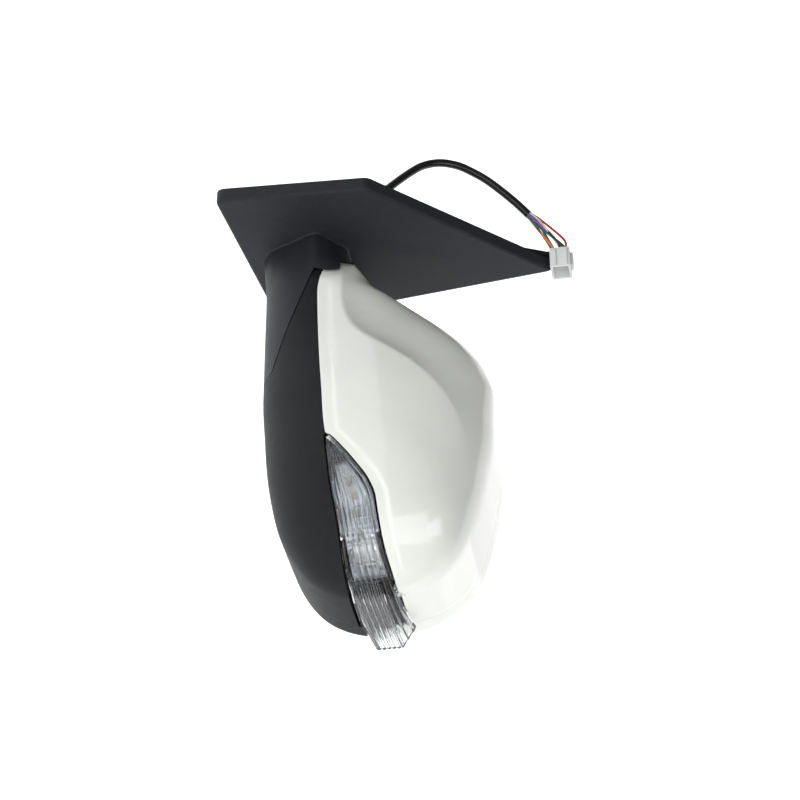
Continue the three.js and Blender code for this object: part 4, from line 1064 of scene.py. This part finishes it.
# Each core's place round the bundle in turns, how far it bows out on the way, and the cell that it ends in.
WIRE_RUNS = {
    "red": (0.02, 2.6, (2, 0)), "white": (0.15, 1.0, (1, 1)), "purple": (0.3, 1.2, (2, 2)),
    "brown": (0.55, 0.8, (0, 2)), "orange": (0.68, 3.6, (0, 0)), "blue": (0.8, 2.4, (0, 1)),
    "black": (0.92, 0.6, (1, 0)), "green": (0.42, 1.4, (2, 1)),
}


def wires():
    """Single cores between the sleeve's open end and the back of the connector."""
    start = Vector(SLEEVE_ROUTE[-1])
    heading = (start - Vector(SLEEVE_ROUTE[-2])).normalized()
    side = heading.cross(Vector((0, 1, 0))).normalized()
    other = heading.cross(side)
    made = []
    for name, (turn, bow, cell) in WIRE_RUNS.items():
        a = turn * 2 * math.pi
        out = side * math.cos(a) + other * math.sin(a)
        end = plug_cell(*cell)
        mouth = start + out * 1.6
        first = start + heading * 8 + out * (1.6 + 0.5 * bow)
        late = end - Vector((9, 0, 0)) + Vector((0, 0, -1.6)) + out * (0.5 * bow)
        points = spline_points([mouth - heading * 5, mouth, first, late, end - Vector((2, 0, 0)), end], 10)
        made.append(curve_piece(f"wire_{name}", points, WIRE_RADIUS, wire_material(name)))
        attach(made[-1], "base")
    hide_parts("harness_wires")
    return made


def plug():
    """The connector: a socketed housing with a latch, end ribs, a groove below and a cavity for each core."""
    (x0, x1), (y0, y1), (z0, z1) = PLUG_X, PLUG_Y, PLUG_Z
    body = box_mesh("connector_body", (x0, y0, z0), (x1, y1, z1))
    latch = box_mesh("latch", (x0 + 2, y0 + 4, z1 - 0.5), (x1 - 3, y1 - 4, z1 + 1.6))
    body = boolean(body, latch, "UNION")
    for h in (3, 10):
        rib = box_mesh("rib", (x0 + 1, y0 - 0.8, z0 + h - 1), (x1, y0 + 0.5, z0 + h + 1))
        body = boolean(body, rib, "UNION")
    cuts = [
        box_mesh("mouth", (x1 - 9, y0 + 1.4, z0 + 1.4), (x1 + 1, y1 - 1.4, z1 - 1.4)),
        box_mesh("groove", (x0 - 1, 19, z0 - 1), (x1 + 1, 23, z0 + 0.8)),
    ]
    for row in range(3):
        for column in range(3):
            _, y, z = plug_cell(row, column)
            cuts.append(box_mesh("cell", (x0 - 1, y - 1.3, z - 1.2), (x0 + 4, y + 1.3, z + 1.2)))
    for cut in cuts:
        body = boolean(body, cut, "DIFFERENCE")
    dress(soften(body, 0.3, 3, 40), "base", CONNECTOR, ["harness_connector"])
    return body


def harness():
    boot()
    points = spline_points(SLEEVE_ROUTE, 10)
    sleeve = curve_piece("sleeve", points, SLEEVE_DIAMETER / 2, SLEEVE)
    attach(sleeve, "base")
    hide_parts("harness_sleeve")
    plug()
    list(wires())


# ------------------------------------------------------------------ the frame's own nodes
def dress_frame():
    """Gives every frame node that is still shown its material and rounded edges."""
    by_slot = {
        "black_plastic": BLACK, "lamp_clear": CLEAR, "lamp_dark": LAMP_DARK, "lamp_chrome": CHROME,
        "circuit_board": BOARD, "led": LED, "cast_metal": CAST, "steel": STEEL, "rubber": RUBBER,
        "nylon": NYLON, "actuator_plastic": CASE, "mirror_face": MIRROR, "heater_film": HEATER,
        "cap_paint": PAINT, "wire_bundle": RUBBER, "connector_plastic": CONNECTOR,
    }
    slots = {part["node"]: part["material_slot"] for part in frame["record"]["subparts"]}
    for name, node in frame["nodes"].items():
        node.data.materials.clear()
        node.data.materials.append(by_slot[slots[name]])
        edge = node.modifiers.new("edge", "BEVEL")
        edge.width = 0.2 * MM
        edge.segments = 2
        edge.limit_method = "ANGLE"
        edge.angle_limit = math.radians(40)


make_camera()
make_studio()
harness()
painted_cap()
lower_shroud()
rear_bezel()
lens()
lamp_inside()
base_cover()
gasket()
mirror_glass()
dress_frame()
